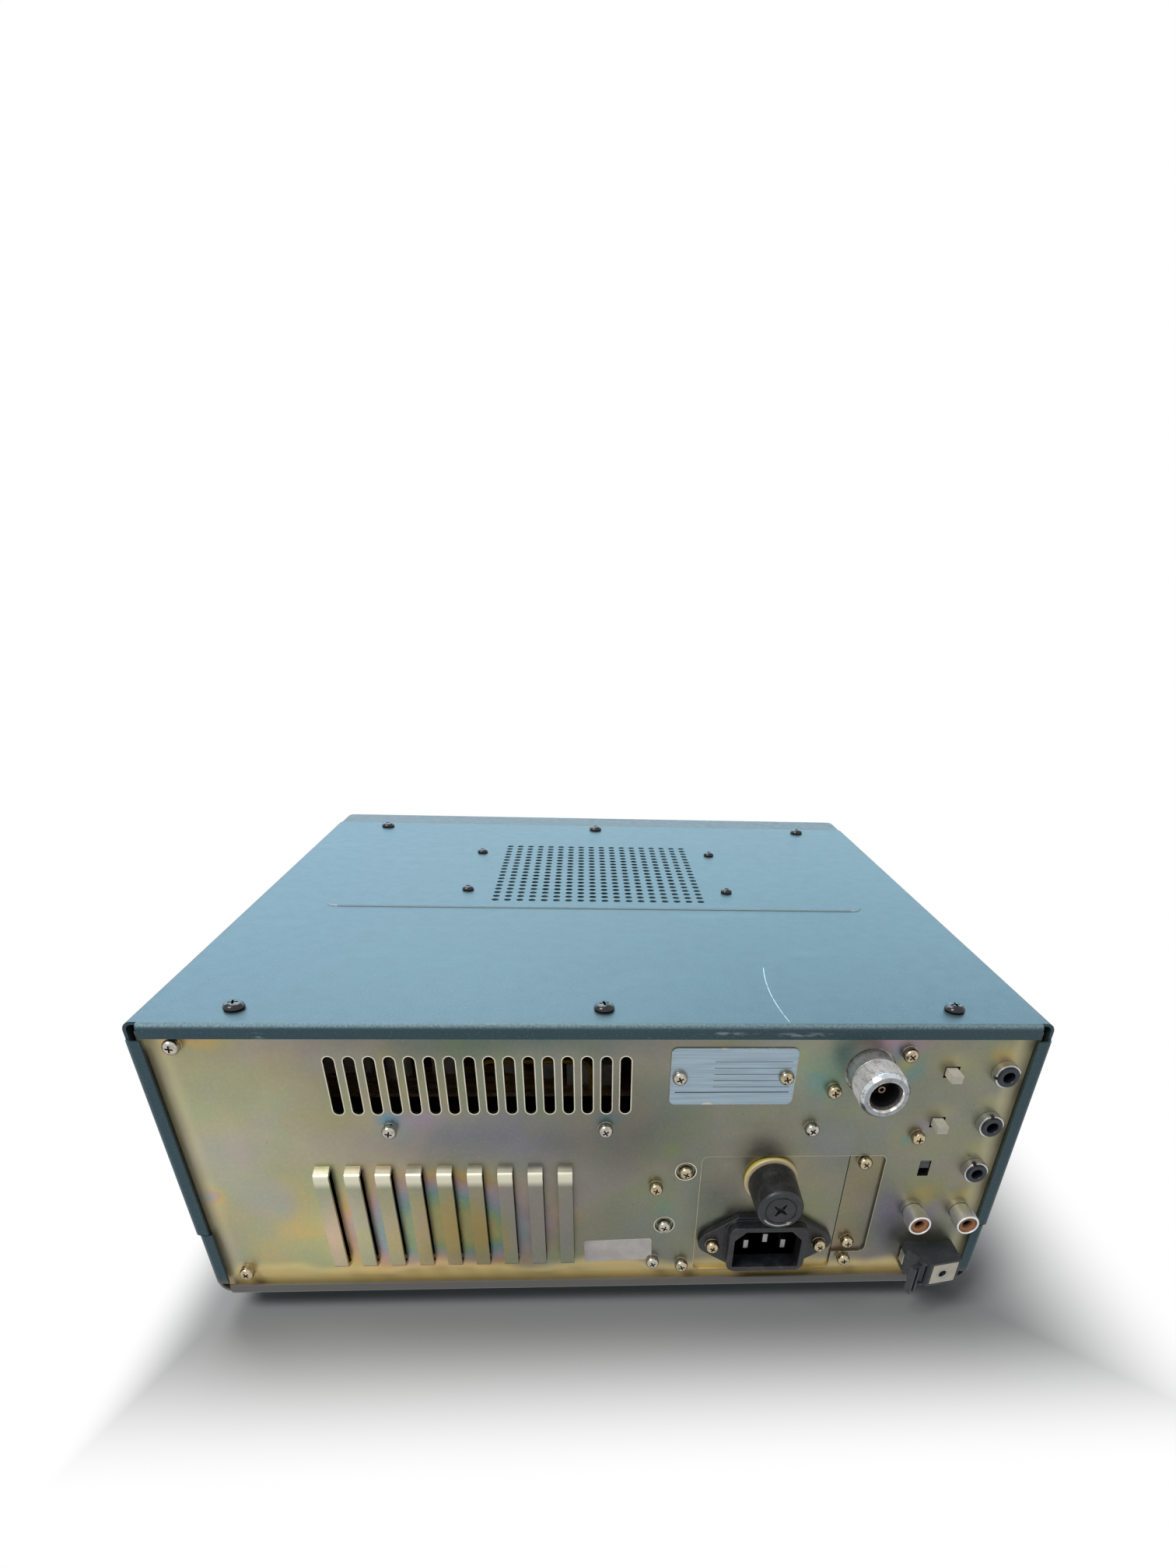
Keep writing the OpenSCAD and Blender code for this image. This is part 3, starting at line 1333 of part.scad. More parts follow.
// A cap that slides through the front panel, with its stem in the switch
module front_key(w, h, reach, stem_l) {
    translate([-w / 2, -h / 2, -fascia_t - key_back]) cube([w, h, fascia_t + key_back + bezel_lip + reach]);
    translate([-key_stem[0] / 2, -key_stem[1] / 2, -fascia_t - key_back - stem_l])
        cube([key_stem[0], key_stem[1], stem_l + fit_gap]);
}

module mode_key(i) {
    stem_l = board_y - key_switch[2] + key_in - glass_y - key_back;
    front_view(fascia_y) translate([key_x(i), key_z, 0]) front_key(key_w, key_h, key_reach, stem_l);
}

module mode_key_1() color("#b7b4aa") mode_key(0);
module mode_key_2() color("#b7b4aa") mode_key(1);
module mode_key_3() color("#b7b4aa") mode_key(2);
module mode_key_4() color("#b7b4aa") mode_key(3);

module power_button() color("#b7b4aa") front_view(fascia_y) translate([power_x, power_z, 0])
    front_key(power_w, power_h, power_reach, joint_y - power_switch[2] + power_in - glass_y - key_back);

phones_body = 15;
phones_proud = 0.8;
phones_floor = 2;

module phones_jack() color("#2a2c2f") front_view(joint_y) translate([phones_x, knob_z, 0]) difference() {
    union() {
        translate([-phones_body / 2, -phones_body / 2, 0])
            cube([phones_body, phones_body, joint_y - glass_y]);
        cylinder(r = phones_bush_r, h = joint_y - fascia_y + phones_proud);
    }
    translate([0, 0, phones_floor]) cylinder(d = phones_bore, h = bezel_d);
}

top_cover();
bottom_cover();
rear_panel();
power_plate();
option_strip();
rating_plate();
front_bezel();
front_panel();
front_chassis();
left_frame();
right_frame();
chassis_deck();
rubber_feet();
cover_screws();
rear_screws();
antenna_socket();
antenna_contact();
upper_push_button();
lower_push_button();
push_switches();
slide_switch();
slide_knob();
jack_rings();
jack_sockets();
phono_shells();
phono_insulators();
terminal_body();
terminal_insert();
terminal_lever();
terminal_clip();
fuse_holder();
fuse_cap();
fuse_link();
mains_inlet();
inlet_pins();
transformer_core();
transformer_winding();
heat_sink();
upper_board();
lower_board();
shield_box();
board_parts();
speaker_basket();
speaker_cone();
signal_lead();
front_windows();
display_module();
meter_case();
meter_needle();
tuning_knob();
gain_knob();
squelch_knob();
control_bodies();
front_board();
phones_jack();
power_button();
mode_key_1();
mode_key_2();
mode_key_3();
mode_key_4();
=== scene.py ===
# %% [markdown]
# # A desk-top communications receiver
# The construction comes packed as a fixed frame of real parts. This lesson dresses it: worn paint, yellow
# zinc plating, moulded plastics and small turned metal pieces, each placed by reading the frame.

# %% Load the frame
import json
import math

import bmesh
import bpy
from mathutils import Matrix, Vector


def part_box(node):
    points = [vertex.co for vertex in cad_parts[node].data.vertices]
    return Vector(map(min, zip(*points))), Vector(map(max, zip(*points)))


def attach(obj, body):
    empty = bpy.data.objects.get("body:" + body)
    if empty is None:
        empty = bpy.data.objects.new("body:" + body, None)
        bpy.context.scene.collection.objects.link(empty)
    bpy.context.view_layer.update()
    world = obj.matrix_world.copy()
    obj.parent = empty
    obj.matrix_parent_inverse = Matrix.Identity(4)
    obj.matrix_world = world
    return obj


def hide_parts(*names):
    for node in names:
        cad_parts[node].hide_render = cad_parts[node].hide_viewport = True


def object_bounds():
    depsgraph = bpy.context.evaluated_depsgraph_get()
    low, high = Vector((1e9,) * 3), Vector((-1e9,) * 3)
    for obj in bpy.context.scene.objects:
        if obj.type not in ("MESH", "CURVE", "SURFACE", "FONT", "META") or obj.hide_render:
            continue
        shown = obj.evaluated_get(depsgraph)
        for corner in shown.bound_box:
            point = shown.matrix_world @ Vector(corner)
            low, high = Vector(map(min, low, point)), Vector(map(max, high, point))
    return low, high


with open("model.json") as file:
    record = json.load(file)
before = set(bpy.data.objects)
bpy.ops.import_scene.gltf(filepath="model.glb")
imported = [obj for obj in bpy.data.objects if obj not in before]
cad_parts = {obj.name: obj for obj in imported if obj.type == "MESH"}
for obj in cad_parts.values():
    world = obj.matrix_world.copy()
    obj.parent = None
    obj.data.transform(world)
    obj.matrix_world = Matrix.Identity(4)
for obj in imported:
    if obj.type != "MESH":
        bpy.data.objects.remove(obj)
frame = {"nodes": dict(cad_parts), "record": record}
cad_low, cad_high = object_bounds()

MM = 0.001
panel_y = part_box("rating_plate")[0].y
plate_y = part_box("power_plate")[1].y
rear_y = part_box("top_cover")[1].y
base_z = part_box("bottom_cover")[0].z
fascia_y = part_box("front_panel")[0].y
print("frame loaded,", len(frame["nodes"]), "nodes, rear panel face at", round(panel_y / MM, 1), "mm")

# %% [markdown]
# ## Camera
# The photograph looks down on the rear from close by, so the sides converge strongly. A camera fitted to
# the visible corners of the case gives the place, the three view directions and the lens. The shift keeps
# the receiver low in a tall frame, as the photograph has it.

# %% Camera
CAMERA_MM = (5.42, 362.8, 227.0)
VIEW_RIGHT = Vector((-0.99808, 0.05487, 0.02873))
VIEW_UP = Vector((-0.00762, -0.56921, 0.82215))
VIEW_BACK = Vector((0.06146, 0.82036, 0.56854))

lens = bpy.data.cameras.new("camera")
lens.lens = 18.355
lens.sensor_width = 36.0
lens.shift_x = -0.03145
lens.shift_y = 0.23398
lens.clip_start = 0.01
camera = bpy.data.objects.new("camera", lens)
bpy.context.scene.collection.objects.link(camera)
turn = Matrix((VIEW_RIGHT, VIEW_UP, VIEW_BACK)).transposed().to_4x4()
camera.matrix_world = Matrix.Translation(Vector(CAMERA_MM) * MM) @ turn
bpy.context.scene.camera = camera
bpy.context.scene.view_settings.view_transform = "Standard"
print("camera with a", lens.lens, "mm lens")

# %% [markdown]
# ## Local frames
# Most pieces are turned or pressed, so they are easiest to model flat on a bench, in millimetres, and then
# to set in place. Three matrices do that: one for the rear panel, one for the front panel and one for the
# top. Across counts to the right as one looks at that face.

# %% Places on the three faces
def rear_at(u, z, y):
    """A bench frame on the rear: across, up and out. u and z in mm, y the seat's level in metres."""
    return Matrix(((-MM, 0, 0, -u * MM), (0, 0, MM, y), (0, MM, 0, base_z + z * MM), (0, 0, 0, 1)))


def front_at(x, z, y):
    """A bench frame on the front: across, up and out."""
    return Matrix(((MM, 0, 0, x * MM), (0, 0, -MM, y), (0, MM, 0, base_z + z * MM), (0, 0, 0, 1)))


def level_at(x, y, z, up=1):
    """A bench frame that lies level at a point in metres, looking up, or down with up = -1."""
    return Matrix(((MM, 0, 0, x), (0, up * MM, 0, y), (0, 0, up * MM, z), (0, 0, 0, 1)))


def solids_of(node):
    """The low and high corner of each separate solid in a CAD node, from left to right."""
    bm = bmesh.new()
    bm.from_mesh(frame["nodes"][node].data)
    bmesh.ops.remove_doubles(bm, verts=bm.verts, dist=1e-6)
    waiting = set(bm.verts)
    boxes = []
    while waiting:
        island = [waiting.pop()]
        for vert in island:
            found = {edge.other_vert(vert) for edge in vert.link_edges} & waiting
            waiting -= found
            island.extend(found)
        low = Vector([min(v.co[i] for v in island) for i in range(3)])
        high = Vector([max(v.co[i] for v in island) for i in range(3)])
        boxes.append((low, high))
    bm.free()
    return sorted(boxes, key=lambda box: tuple(round(c, 5) for c in (*box[0], *box[1])))


def rear_place(low, high):
    """Across and up of a box's middle on the rear, in mm."""
    middle = (low + high) / 2
    return -middle.x / MM, (middle.z - base_z) / MM


def front_place(node):
    """Across and up of a node's middle on the front, in mm."""
    low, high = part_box(node)
    middle = (low + high) / 2
    return middle.x / MM, (middle.z - base_z) / MM


print(len(solids_of("rear_screws")), "rear screws found in the frame")

# %% [markdown]
# ## Turned and wound pieces
# Sockets, rings and screw heads come off a lathe. A half profile spun about its axis makes them, and it
# reads like the drawing of the real piece. A thread or a spring washer is a small outline spun as a helix.
# A cylinder scaled ring by ring would do as well, but takes many more steps.

# %% Turned and wound pieces
def turned(profile, steps=48):
    """Spins (radius, height) points about the bench's Z axis."""
    bm = bmesh.new()
    points = [bm.verts.new((r, 0, h)) for r, h in profile]
    edges = [bm.edges.new(pair) for pair in zip(points, points[1:])]
    bmesh.ops.spin(bm, geom=points + edges, cent=(0, 0, 0), axis=(0, 0, 1), angle=2 * math.pi,
                   steps=steps, use_merge=True)
    bmesh.ops.remove_doubles(bm, verts=bm.verts, dist=1e-4)
    bmesh.ops.recalc_face_normals(bm, faces=bm.faces)
    return bm


def wound(outline, turns, rise, steps):
    """Spins a closed (radius, height) outline as a helix that climbs by rise at each turn."""
    bm = bmesh.new()
    face = bm.faces.new([bm.verts.new((r, 0, h)) for r, h in outline])
    count = round(turns * steps)
    bmesh.ops.spin(bm, geom=[*face.verts, *face.edges, face], cent=(0, 0, 0), axis=(0, 0, 1),
                   dvec=(0, 0, rise / steps), angle=2 * math.pi * turns, steps=count, use_merge=False)
    bmesh.ops.recalc_face_normals(bm, faces=bm.faces)
    return bm


print("lathe ready")

# %% [markdown]
# ## Blocks, plates and soft edges
# Flat pieces start as a cube or as an outline that is extruded. Real edges are never sharp, so a bevel
# rounds each one, and that is what catches the light. A bevel modifier would do it too, but a bevel in the
# mesh lets a later cut stay crisp.

# %% Blocks, plates and soft edges
def rounded(bm, edges, width, segments=2):
    """Rounds the chosen edges by a width in the mesh's own unit."""
    bmesh.ops.bevel(bm, geom=edges, offset=width, affect="EDGES", segments=segments, profile=0.5,
                    material=-1, clamp_overlap=True)
    return bm


def soften(bm, width, segments=2, sharper=30):
    """Rounds every edge that turns by more than the given degrees."""
    sharp = [e for e in bm.edges if e.is_manifold and e.calc_face_angle() > math.radians(sharper)]
    return rounded(bm, sharp, width, segments)


def prism(outline, low, high):
    """Extrudes an (x, y) outline from one height to another."""
    bm = bmesh.new()
    face = bm.faces.new([bm.verts.new((x, y, low)) for x, y in outline])
    grown = bmesh.ops.extrude_face_region(bm, geom=[face])["geom"]
    raised = [v for v in grown if isinstance(v, bmesh.types.BMVert)]
    bmesh.ops.translate(bm, verts=raised, vec=(0, 0, high - low))
    bmesh.ops.recalc_face_normals(bm, faces=bm.faces)
    return bm


def block(w, h, t, soft=0.2, low=0.0):
    """A softened block that stands on the bench."""
    bm = bmesh.new()
    place = Matrix.Translation((0, 0, low + t / 2)) @ Matrix.Diagonal((w, h, t, 1))
    bmesh.ops.create_cube(bm, size=1, matrix=place)
    return soften(bm, soft) if soft else bm


def plate(w, h, t, corner, soft=0.1):
    """A flat plate with round corners and softened rims."""
    bm = block(w, h, t, soft=0)
    upright = [e for e in bm.edges if abs(e.verts[0].co.z - e.verts[1].co.z) > t / 2]
    return soften(rounded(bm, upright, corner, segments=6), soft)


print("saw and file ready")

# %% [markdown]
# ## Setting together and cutting
# Parts are made on the bench in millimetres. A matrix sets a copy of a part in place, so ten screws are no
# more work than one. Recesses and slots are cut with a closed form by a boolean, as a tool would cut them.

# %% Setting together and cutting
def add(target, part, place=Matrix()):
    """Copies a part into a target, set in place by a matrix."""
    mesh = bpy.data.meshes.new("part")
    part.to_mesh(mesh)
    mesh.transform(place)
    target.from_mesh(mesh)
    bpy.data.meshes.remove(mesh)
    return target


def carve(body, cutter):
    """Cuts one closed form out of another and returns what is left."""
    pair = []
    for bm in (body, cutter):
        mesh = bpy.data.meshes.new("carving")
        bm.to_mesh(mesh)
        pair.append(bpy.data.objects.new("carving", mesh))
        bpy.context.scene.collection.objects.link(pair[-1])
    cut = pair[0].modifiers.new("cut", "BOOLEAN")
    cut.object = pair[1]
    cut.solver = "EXACT"
    result = bmesh.new()
    result.from_mesh(pair[0].evaluated_get(bpy.context.evaluated_depsgraph_get()).to_mesh())
    for holder in pair:
        bpy.data.meshes.remove(holder.data)
    return result


print("vice and cutters ready")

# %% [markdown]
# ## Copies of the frame's own pieces
# Many pieces already have their true shape in the frame, as loose triangles. A copy is merged into whole
# faces first, because a bevel needs edges that two faces share. The frame's own mesh stays as it is.

# %% Copies of the frame's own pieces
def merged_copy(node):
    """A copy of a CAD node in metres, its loose triangles merged into whole faces."""
    bm = bmesh.new()
    bm.from_mesh(frame["nodes"][node].data)
    bmesh.ops.remove_doubles(bm, verts=bm.verts, dist=1e-6)
    bmesh.ops.dissolve_limit(bm, angle_limit=math.radians(1), verts=bm.verts, edges=bm.edges)
    return bm


def softened(node, width, segments=2):
    """A merged copy of a CAD node with its edges softened."""
    return soften(merged_copy(node), width * MM, segments)


sample = merged_copy("rating_plate")
print("the rating plate merges into", len(sample.faces), "faces")
sample.free()

# %% [markdown]
# ## Handing a piece over
# A finished piece gets its mesh, its finish and smooth shading that keeps the sharp edges. It then rides on
# the body that carries it, and hides the nodes of the frame that it stands for. A node whose own shape is
# good enough only gets a finish.

# %% Handing a piece over
SHARP_FROM = 32


def new_piece(name, bm, finish, body="case", stands_for=()):
    """Makes a finished piece of a bmesh that is already in place, and hands it to its body."""
    mesh = bpy.data.meshes.new(name)
    bm.to_mesh(mesh)
    bm.free()
    mesh.shade_smooth()
    mesh.set_sharp_from_angle(angle=math.radians(SHARP_FROM))
    mesh.materials.clear()
    mesh.materials.append(finish)
    piece = bpy.data.objects.new(name, mesh)
    bpy.context.scene.collection.objects.link(piece)
    level = piece.modifiers.new("level_normals", "WEIGHTED_NORMAL")
    level.keep_sharp = True
    level.weight = 100
    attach(piece, body)
    if stands_for:
        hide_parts(*stands_for)
    print(name, "with", len(mesh.polygons), "faces")
    return piece


def dress(finish, *nodes):
    """Gives CAD nodes a finish and leaves their shape as it is."""
    for node in nodes:
        slots = frame["nodes"][node].data.materials
        slots.clear()
        slots.append(finish)
    print(finish.name, "on", ", ".join(nodes))


print("bench tools ready")

# %% [markdown]
# ## A finish is a small recipe
# Every surface gets a node material. A first class keeps the wiring short: it makes nodes, plugs an output
# into a socket or writes a plain value there, and offers sums, soft bands, blends and ramps. The shader
# editor does the same by hand, but here one line stands for a node and its links.

# %% Wiring
class Wiring:
    """The nodes of one material and the links between them."""

    def __init__(self, name, colour, roughness=0.5, metallic=0.0):
        self.material = bpy.data.materials.new(name)
        self.material.use_nodes = True
        self.tree = self.material.node_tree
        self.shader = self.tree.nodes["Principled BSDF"]
        self.set("Base Color", (*colour, 1.0))
        self.set("Roughness", roughness)
        self.set("Metallic", metallic)
        self.place = self.node("TexCoord").outputs["Object"]
        self.normal = None

    def set(self, socket, value):
        self.shader.inputs[socket].default_value = value

    def node(self, kind, **settings):
        made = self.tree.nodes.new("ShaderNode" + kind)
        for key, value in settings.items():
            setattr(made, key, value)
        return made

    def feed(self, socket, value):
        """Plugs an output into a socket, or writes a plain value on it."""
        if isinstance(value, bpy.types.NodeSocket):
            self.tree.links.new(value, socket)
        elif isinstance(value, tuple) and len(value) == 3 and socket.type == "RGBA":
            socket.default_value = (*value, 1.0)
        else:
            socket.default_value = value

    def use(self, socket, value):
        self.feed(self.shader.inputs[socket], value)
        return self

    def calc(self, operation, a, b=0.0, clamp=False):
        made = self.node("Math", operation=operation, use_clamp=clamp)
        self.feed(made.inputs[0], a)
        self.feed(made.inputs[1], b)
        return made.outputs[0]

    def band(self, value, start, end, first=0.0, last=1.0):
        """Goes smoothly from first to last while the value goes from start to end."""
        made = self.node("MapRange", interpolation_type="SMOOTHSTEP")
        for name, given in (("Value", value), ("From Min", start), ("From Max", end),
                            ("To Min", first), ("To Max", last)):
            self.feed(made.inputs[name], given)
        return made.outputs["Result"]

    def blend(self, share, first, second, mode="MIX"):
        made = self.node("Mix", data_type="RGBA", blend_type=mode)
        for index, given in ((0, share), (6, first), (7, second)):
            self.feed(made.inputs[index], given)
        return made.outputs[2]

    def ramp(self, value, stops):
        made = self.node("ValToRGB")
        elements = made.color_ramp.elements
        elements.remove(elements[1])
        elements[0].position = stops[0][0]
        elements[0].color = (*stops[0][1], 1.0)
        for position, colour in stops[1:]:
            elements.new(position).color = (*colour, 1.0)
        self.feed(made.inputs["Fac"], value)
        return made.outputs["Color"]


print("wiring ready")

# %% [markdown]
# ## Patterns in their true places
# A finish adds patterns to the wiring: noise, flecks, spots and relief. It reads Object coordinates and
# takes sizes in millimetres. Object coordinates are the part's own frame here, so a stain can be laid at a
# true place on the panel.

# %% Patterns
class Finish(Wiring):
    """One procedural finish that is built up step by step."""

    def moved(self, centre=(0, 0, 0), reach=(1, 1, 1)):
        """Coordinates counted from a centre, in units of a reach along each axis."""
        made = self.node("Mapping", vector_type="TEXTURE")
        made.inputs["Location"].default_value = centre
        made.inputs["Scale"].default_value = reach
        self.feed(made.inputs["Vector"], self.place)
        return made.outputs["Vector"]

    def warped(self, amount, size):
        """Coordinates pushed about by an amount in mm, so that soft edges come out irregular."""
        cloud = self.node("TexNoise")
        cloud.inputs["Scale"].default_value = 1.0 / (size * MM)
        self.feed(cloud.inputs["Vector"], self.place)
        push = self.node("VectorMath", operation="MULTIPLY_ADD")
        self.feed(push.inputs[0], cloud.outputs["Color"])
        push.inputs[1].default_value = (2 * amount * MM, 0, 2 * amount * MM)
        push.inputs[2].default_value = (-amount * MM, 0, -amount * MM)
        moved = self.node("VectorMath", operation="ADD")
        self.feed(moved.inputs[0], self.place)
        self.feed(moved.inputs[1], push.outputs["Vector"])
        return moved.outputs["Vector"]

    def noise(self, size, detail=3.0, stretch=(1, 1, 1), roughness=0.55, centre=(0, 0, 0)):
        """Cloudy grain of a size in mm, which can be stretched along an axis."""
        made = self.node("TexNoise")
        made.inputs["Scale"].default_value = 1.0 / (size * MM)
        made.inputs["Detail"].default_value = detail
        made.inputs["Roughness"].default_value = roughness
        self.feed(made.inputs["Vector"], self.moved(centre=centre, reach=stretch))
        return made.outputs["Fac"]

    def flecks(self, size, rare):
        """Irregular flecks of about a size in mm; the nearer rare is to 1, the fewer there are."""
        return self.band(self.noise(size * 2.2, detail=1.5), rare, rare + 0.06)

    def spot(self, centre, reach):
        """1 at a point, falling to 0 at a reach along each axis, all in metres."""
        made = self.node("VectorMath", operation="LENGTH")
        self.feed(made.inputs[0], self.moved(centre=centre, reach=reach))
        return self.band(made.outputs["Value"], 0.0, 1.0, 1.0, 0.0)

    def along(self, axis):
        split = self.node("SeparateXYZ")
        self.feed(split.inputs[0], self.place)
        return split.outputs[axis]

    def relief(self, height, depth, strength=1.0):
        """Fine relief of a depth in mm."""
        made = self.node("Bump")
        made.inputs["Strength"].default_value = strength
        made.inputs["Distance"].default_value = depth * MM
        self.feed(made.inputs["Height"], height)
        if self.normal:
            self.feed(made.inputs["Normal"], self.normal)
        self.normal = made.outputs["Normal"]
        return self.use("Normal", self.normal)


def shade(colour, factor):
    return tuple(min(1.0, c * factor) for c in colour)


print("recipe book ready")

# %% [markdown]
# ## Wear and painted highlights on the covers
# Paint wears where it is touched: the lower flange keeps dust, and one long scratch curves across the top.
# The rim of the raised field and the rear fold are painted paler, as painted highlights. Each of these is a
# mask, worked out from where a point lies: 1 where the mark is full and 0 where there is none.

# %% Wear and painted highlights on the covers
FIELD_RISE = 0.5 * MM
# Half the field's width and length in mm, and the depth of its middle from the rear edge
FIELD_HALF = (112.5, 53.0)
GRILLE_DEPTH = 163.6
# Across and depth of the scratch's middle in mm, how fast it curves and half its length
SCRATCH = (55.6, 25.0, 0.0037, 23.0)
# Heights in mm between which the dust on the lower rear flange thins out
DUSTY = (5.0, 9.0)
top_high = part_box("top_cover")[1]
field_foot = top_high.z - FIELD_RISE


def dust_mask(f):
    """The lower rear flange, where dust settles."""
    low_down = f.band(f.along("Z"), base_z + DUSTY[0] * MM, base_z + DUSTY[1] * MM, 0.75, 0.0)
    return f.calc("MULTIPLY", low_down, f.band(f.along("Y"), rear_y - 6 * MM, rear_y - 2 * MM))


def rim_highlight_mask(f):
    """The sloping rim of the raised field, where a pale highlight is painted."""
    slope = f.calc("MULTIPLY", f.band(f.along("Z"), field_foot, field_foot + 0.2 * FIELD_RISE),
                   f.band(f.along("Z"), top_high.z - 0.1 * FIELD_RISE, top_high.z, 1.0, 0.0))
    aside = f.calc("DIVIDE", f.calc("ABSOLUTE", f.along("X")), FIELD_HALF[0] * MM)
    fore = f.calc("SUBTRACT", f.along("Y"), rear_y - GRILLE_DEPTH * MM)
    fore = f.calc("DIVIDE", f.calc("ABSOLUTE", fore), FIELD_HALF[1] * MM)
    return f.calc("MULTIPLY", slope, f.band(f.calc("MAXIMUM", aside, fore), 0.95, 0.97))


def fold_highlight_mask(f):
    """The bend of the rear fold, in uneven flecks of painted highlight."""
    fold = f.calc("MULTIPLY", f.band(f.along("Y"), rear_y - 1.9 * MM, rear_y - 0.8 * MM),
                  f.band(f.along("Z"), field_foot - 1.5 * MM, field_foot - 0.3 * MM))
    return f.calc("MULTIPLY", fold, f.band(f.noise(0.7, detail=3), 0.3, 0.7, 0.25, 0.75))


def scratch_mask(f):
    """One thin, curved scratch that fades at its ends."""
    across, depth, curve, half = SCRATCH
    run = f.calc("SUBTRACT", rear_y - depth * MM, f.along("Y"))
    bend = f.calc("MULTIPLY", f.calc("MULTIPLY", run, run), curve / MM)
    line = f.calc("ADD", f.calc("ADD", f.along("X"), bend), across * MM)
    thin = f.band(f.calc("ABSOLUTE", line), 0.05 * MM, 0.24 * MM, 1.0, 0.0)
    ends = f.band(f.calc("ABSOLUTE", run), half * MM - 2 * MM, half * MM, 1.0, 0.0)
    thin = f.calc("MULTIPLY", thin, ends)
    return f.calc("MULTIPLY", thin, f.band(f.noise(2, detail=2), 0.3, 0.5, 0.3, 0.9))


print("the field rises from", round((field_foot - base_z) / MM, 1), "mm")

# %% [markdown]
# ## Painted covers
# The covers are steel with a slate-teal paint that has a fine, slightly pebbled skin. Years of use leave
# pale dust and faint clouds where hands and cloths have wiped. Base colour stays dark, and the soft gloss
# comes from the roughness, so that the far edge brightens by itself. The left side is painted bluer, a
# painted reflection, and the field's rim and the rear fold carry painted highlights.

# %% Painted covers
PAINT = (0.035, 0.061, 0.068)
SHEEN_TINT = (0.50, 0.84, 1.0, 1.0)
# Across, up, reach and height in mm of the scuffs on the rear fold
SCUFFS = ((-103.5, 106.4, 3.6, 1.5), (62.0, 107.0, 14.0, 1.1), (38.0, 107.4, 12.0, 0.8))


def cover_paint(name, colour):
    f = Finish(name, colour, roughness=0.40)
    f.set("Specular IOR Level", 0.6)
    f.set("Specular Tint", SHEEN_TINT)
    tone = f.blend(f.band(f.noise(80, detail=4), 0.35, 0.68), shade(colour, 0.92), shade(colour, 1.08))
    # Painted reflection: the left side is tinted bluer and lighter, as if it mirrored the window.
    tone = f.blend(f.band(f.along("X"), 0.02, 0.14, 0.0, 0.5), tone, (0.034, 0.062, 0.090))
    tone = f.blend(f.band(f.noise(0.8, detail=2), 0.32, 0.72, 0.0, 0.30), tone, shade(colour, 1.9))
    wiped = f.noise(24, detail=5, stretch=(3, 1, 1))
    tone = f.blend(f.band(wiped, 0.56, 0.80, 0.0, 0.12), tone, (0.20, 0.29, 0.32))
    tone = f.blend(f.calc("MULTIPLY", f.flecks(0.22, 0.66), 0.25), tone, (0.32, 0.44, 0.49))
    tone = f.blend(f.calc("MULTIPLY", f.flecks(0.4, 0.78), 0.55), tone, (0.55, 0.64, 0.66))
    tone = f.blend(dust_mask(f), tone, (0.26, 0.215, 0.18))
    # Painted highlight: the field's rim is pale and partly metal, so it shines like a lit edge.
    rim = rim_highlight_mask(f)
    tone = f.blend(rim, tone, (0.80, 0.92, 0.98))
    f.use("Metallic", f.calc("MULTIPLY", rim, 0.8))
    # Painted highlight along the bend of the rear fold.
    tone = f.blend(fold_highlight_mask(f), tone, (0.34, 0.46, 0.50))
    tone = f.blend(scratch_mask(f), tone, (0.66, 0.74, 0.76))
    for u, z, reach, high in SCUFFS:
        at = f.spot((-u * MM, rear_y, base_z + z * MM), (reach * MM, 2 * MM, high * MM))
        worn = f.calc("MULTIPLY", at, f.band(f.noise(1.4, detail=4, stretch=(3, 1, 1)), 0.44, 0.62))
        tone = f.blend(f.calc("MULTIPLY", worn, 0.8), tone, (0.42, 0.50, 0.52))
    f.use("Base Color", tone)
    f.use("Roughness", f.band(f.noise(6, detail=3), 0.3, 0.8, 0.43, 0.47))
    f.relief(f.noise(0.7, detail=2), 0.04, 0.55)
    return f.material


paint = cover_paint("slate_paint", PAINT)
print("mixed", paint.name)

# %% [markdown]
# ## Cover meshes
# The covers' shapes come from the frame. The press rolls the rim of the raised field and of each hole in
# the grille, so these edges get a wider bevel than the folds do. Nobody sees the edges under the grille,
# so they stay as the punch left them, and the mesh stays light.

# %% Cover meshes
RIM_ROLL = 0.40
FOLD_ROLL = 0.22
# Nearer to the grille's middle than this, in mm, only the rims get a bevel
GRILLE_REACH = 72.0
top = merged_copy("top_cover")
field_rims = [e for e in top.edges if min(v.co.z for v in e.verts) > top_high.z - 0.1 * FIELD_RISE
              and e.calc_face_angle(0) > math.radians(80)]
print(len(field_rims), "edges round the field and its holes")
rounded(top, field_rims, RIM_ROLL * MM)
grille = Vector((0, rear_y - GRILLE_DEPTH * MM, 0))
folds = [e for e in top.edges if e.calc_face_angle(0) > math.radians(40)
         and (e.verts[0].co - grille).xy.length > GRILLE_REACH * MM]
rounded(top, folds, FOLD_ROLL * MM)
print(len(top.faces), "faces in the upper cover")
new_piece("top_cover_painted", top, paint, stands_for=["top_cover"])
new_piece("bottom_cover_painted", softened("bottom_cover", FOLD_ROLL), paint,
          stands_for=["bottom_cover"])

# %% [markdown]
# ## Yellow zinc plating
# The rear panel is zinc with a chromate film. The film is so thin that its thickness shows as colour, from
# grey-green and olive through gold, pink and violet to teal. So the recipe adds up a thickness over the
# whole panel, thicker round the louvres, and one ramp turns it into colour. The light gold along the lower
# edge is partly the film's own colour and partly painted reflection.

# %% Yellow zinc plating
# The colours of the film from thin to thick
FILM = (
    (0.00, (0.285, 0.305, 0.275)), (0.18, (0.305, 0.315, 0.215)), (0.32, (0.350, 0.330, 0.190)),
    (0.44, (0.450, 0.345, 0.130)), (0.54, (0.430, 0.285, 0.175)), (0.62, (0.380, 0.275, 0.265)),
    (0.71, (0.285, 0.290, 0.330)), (0.80, (0.195, 0.310, 0.280)), (0.90, (0.265, 0.345, 0.170)),
    (1.00, (0.400, 0.360, 0.150)),
)
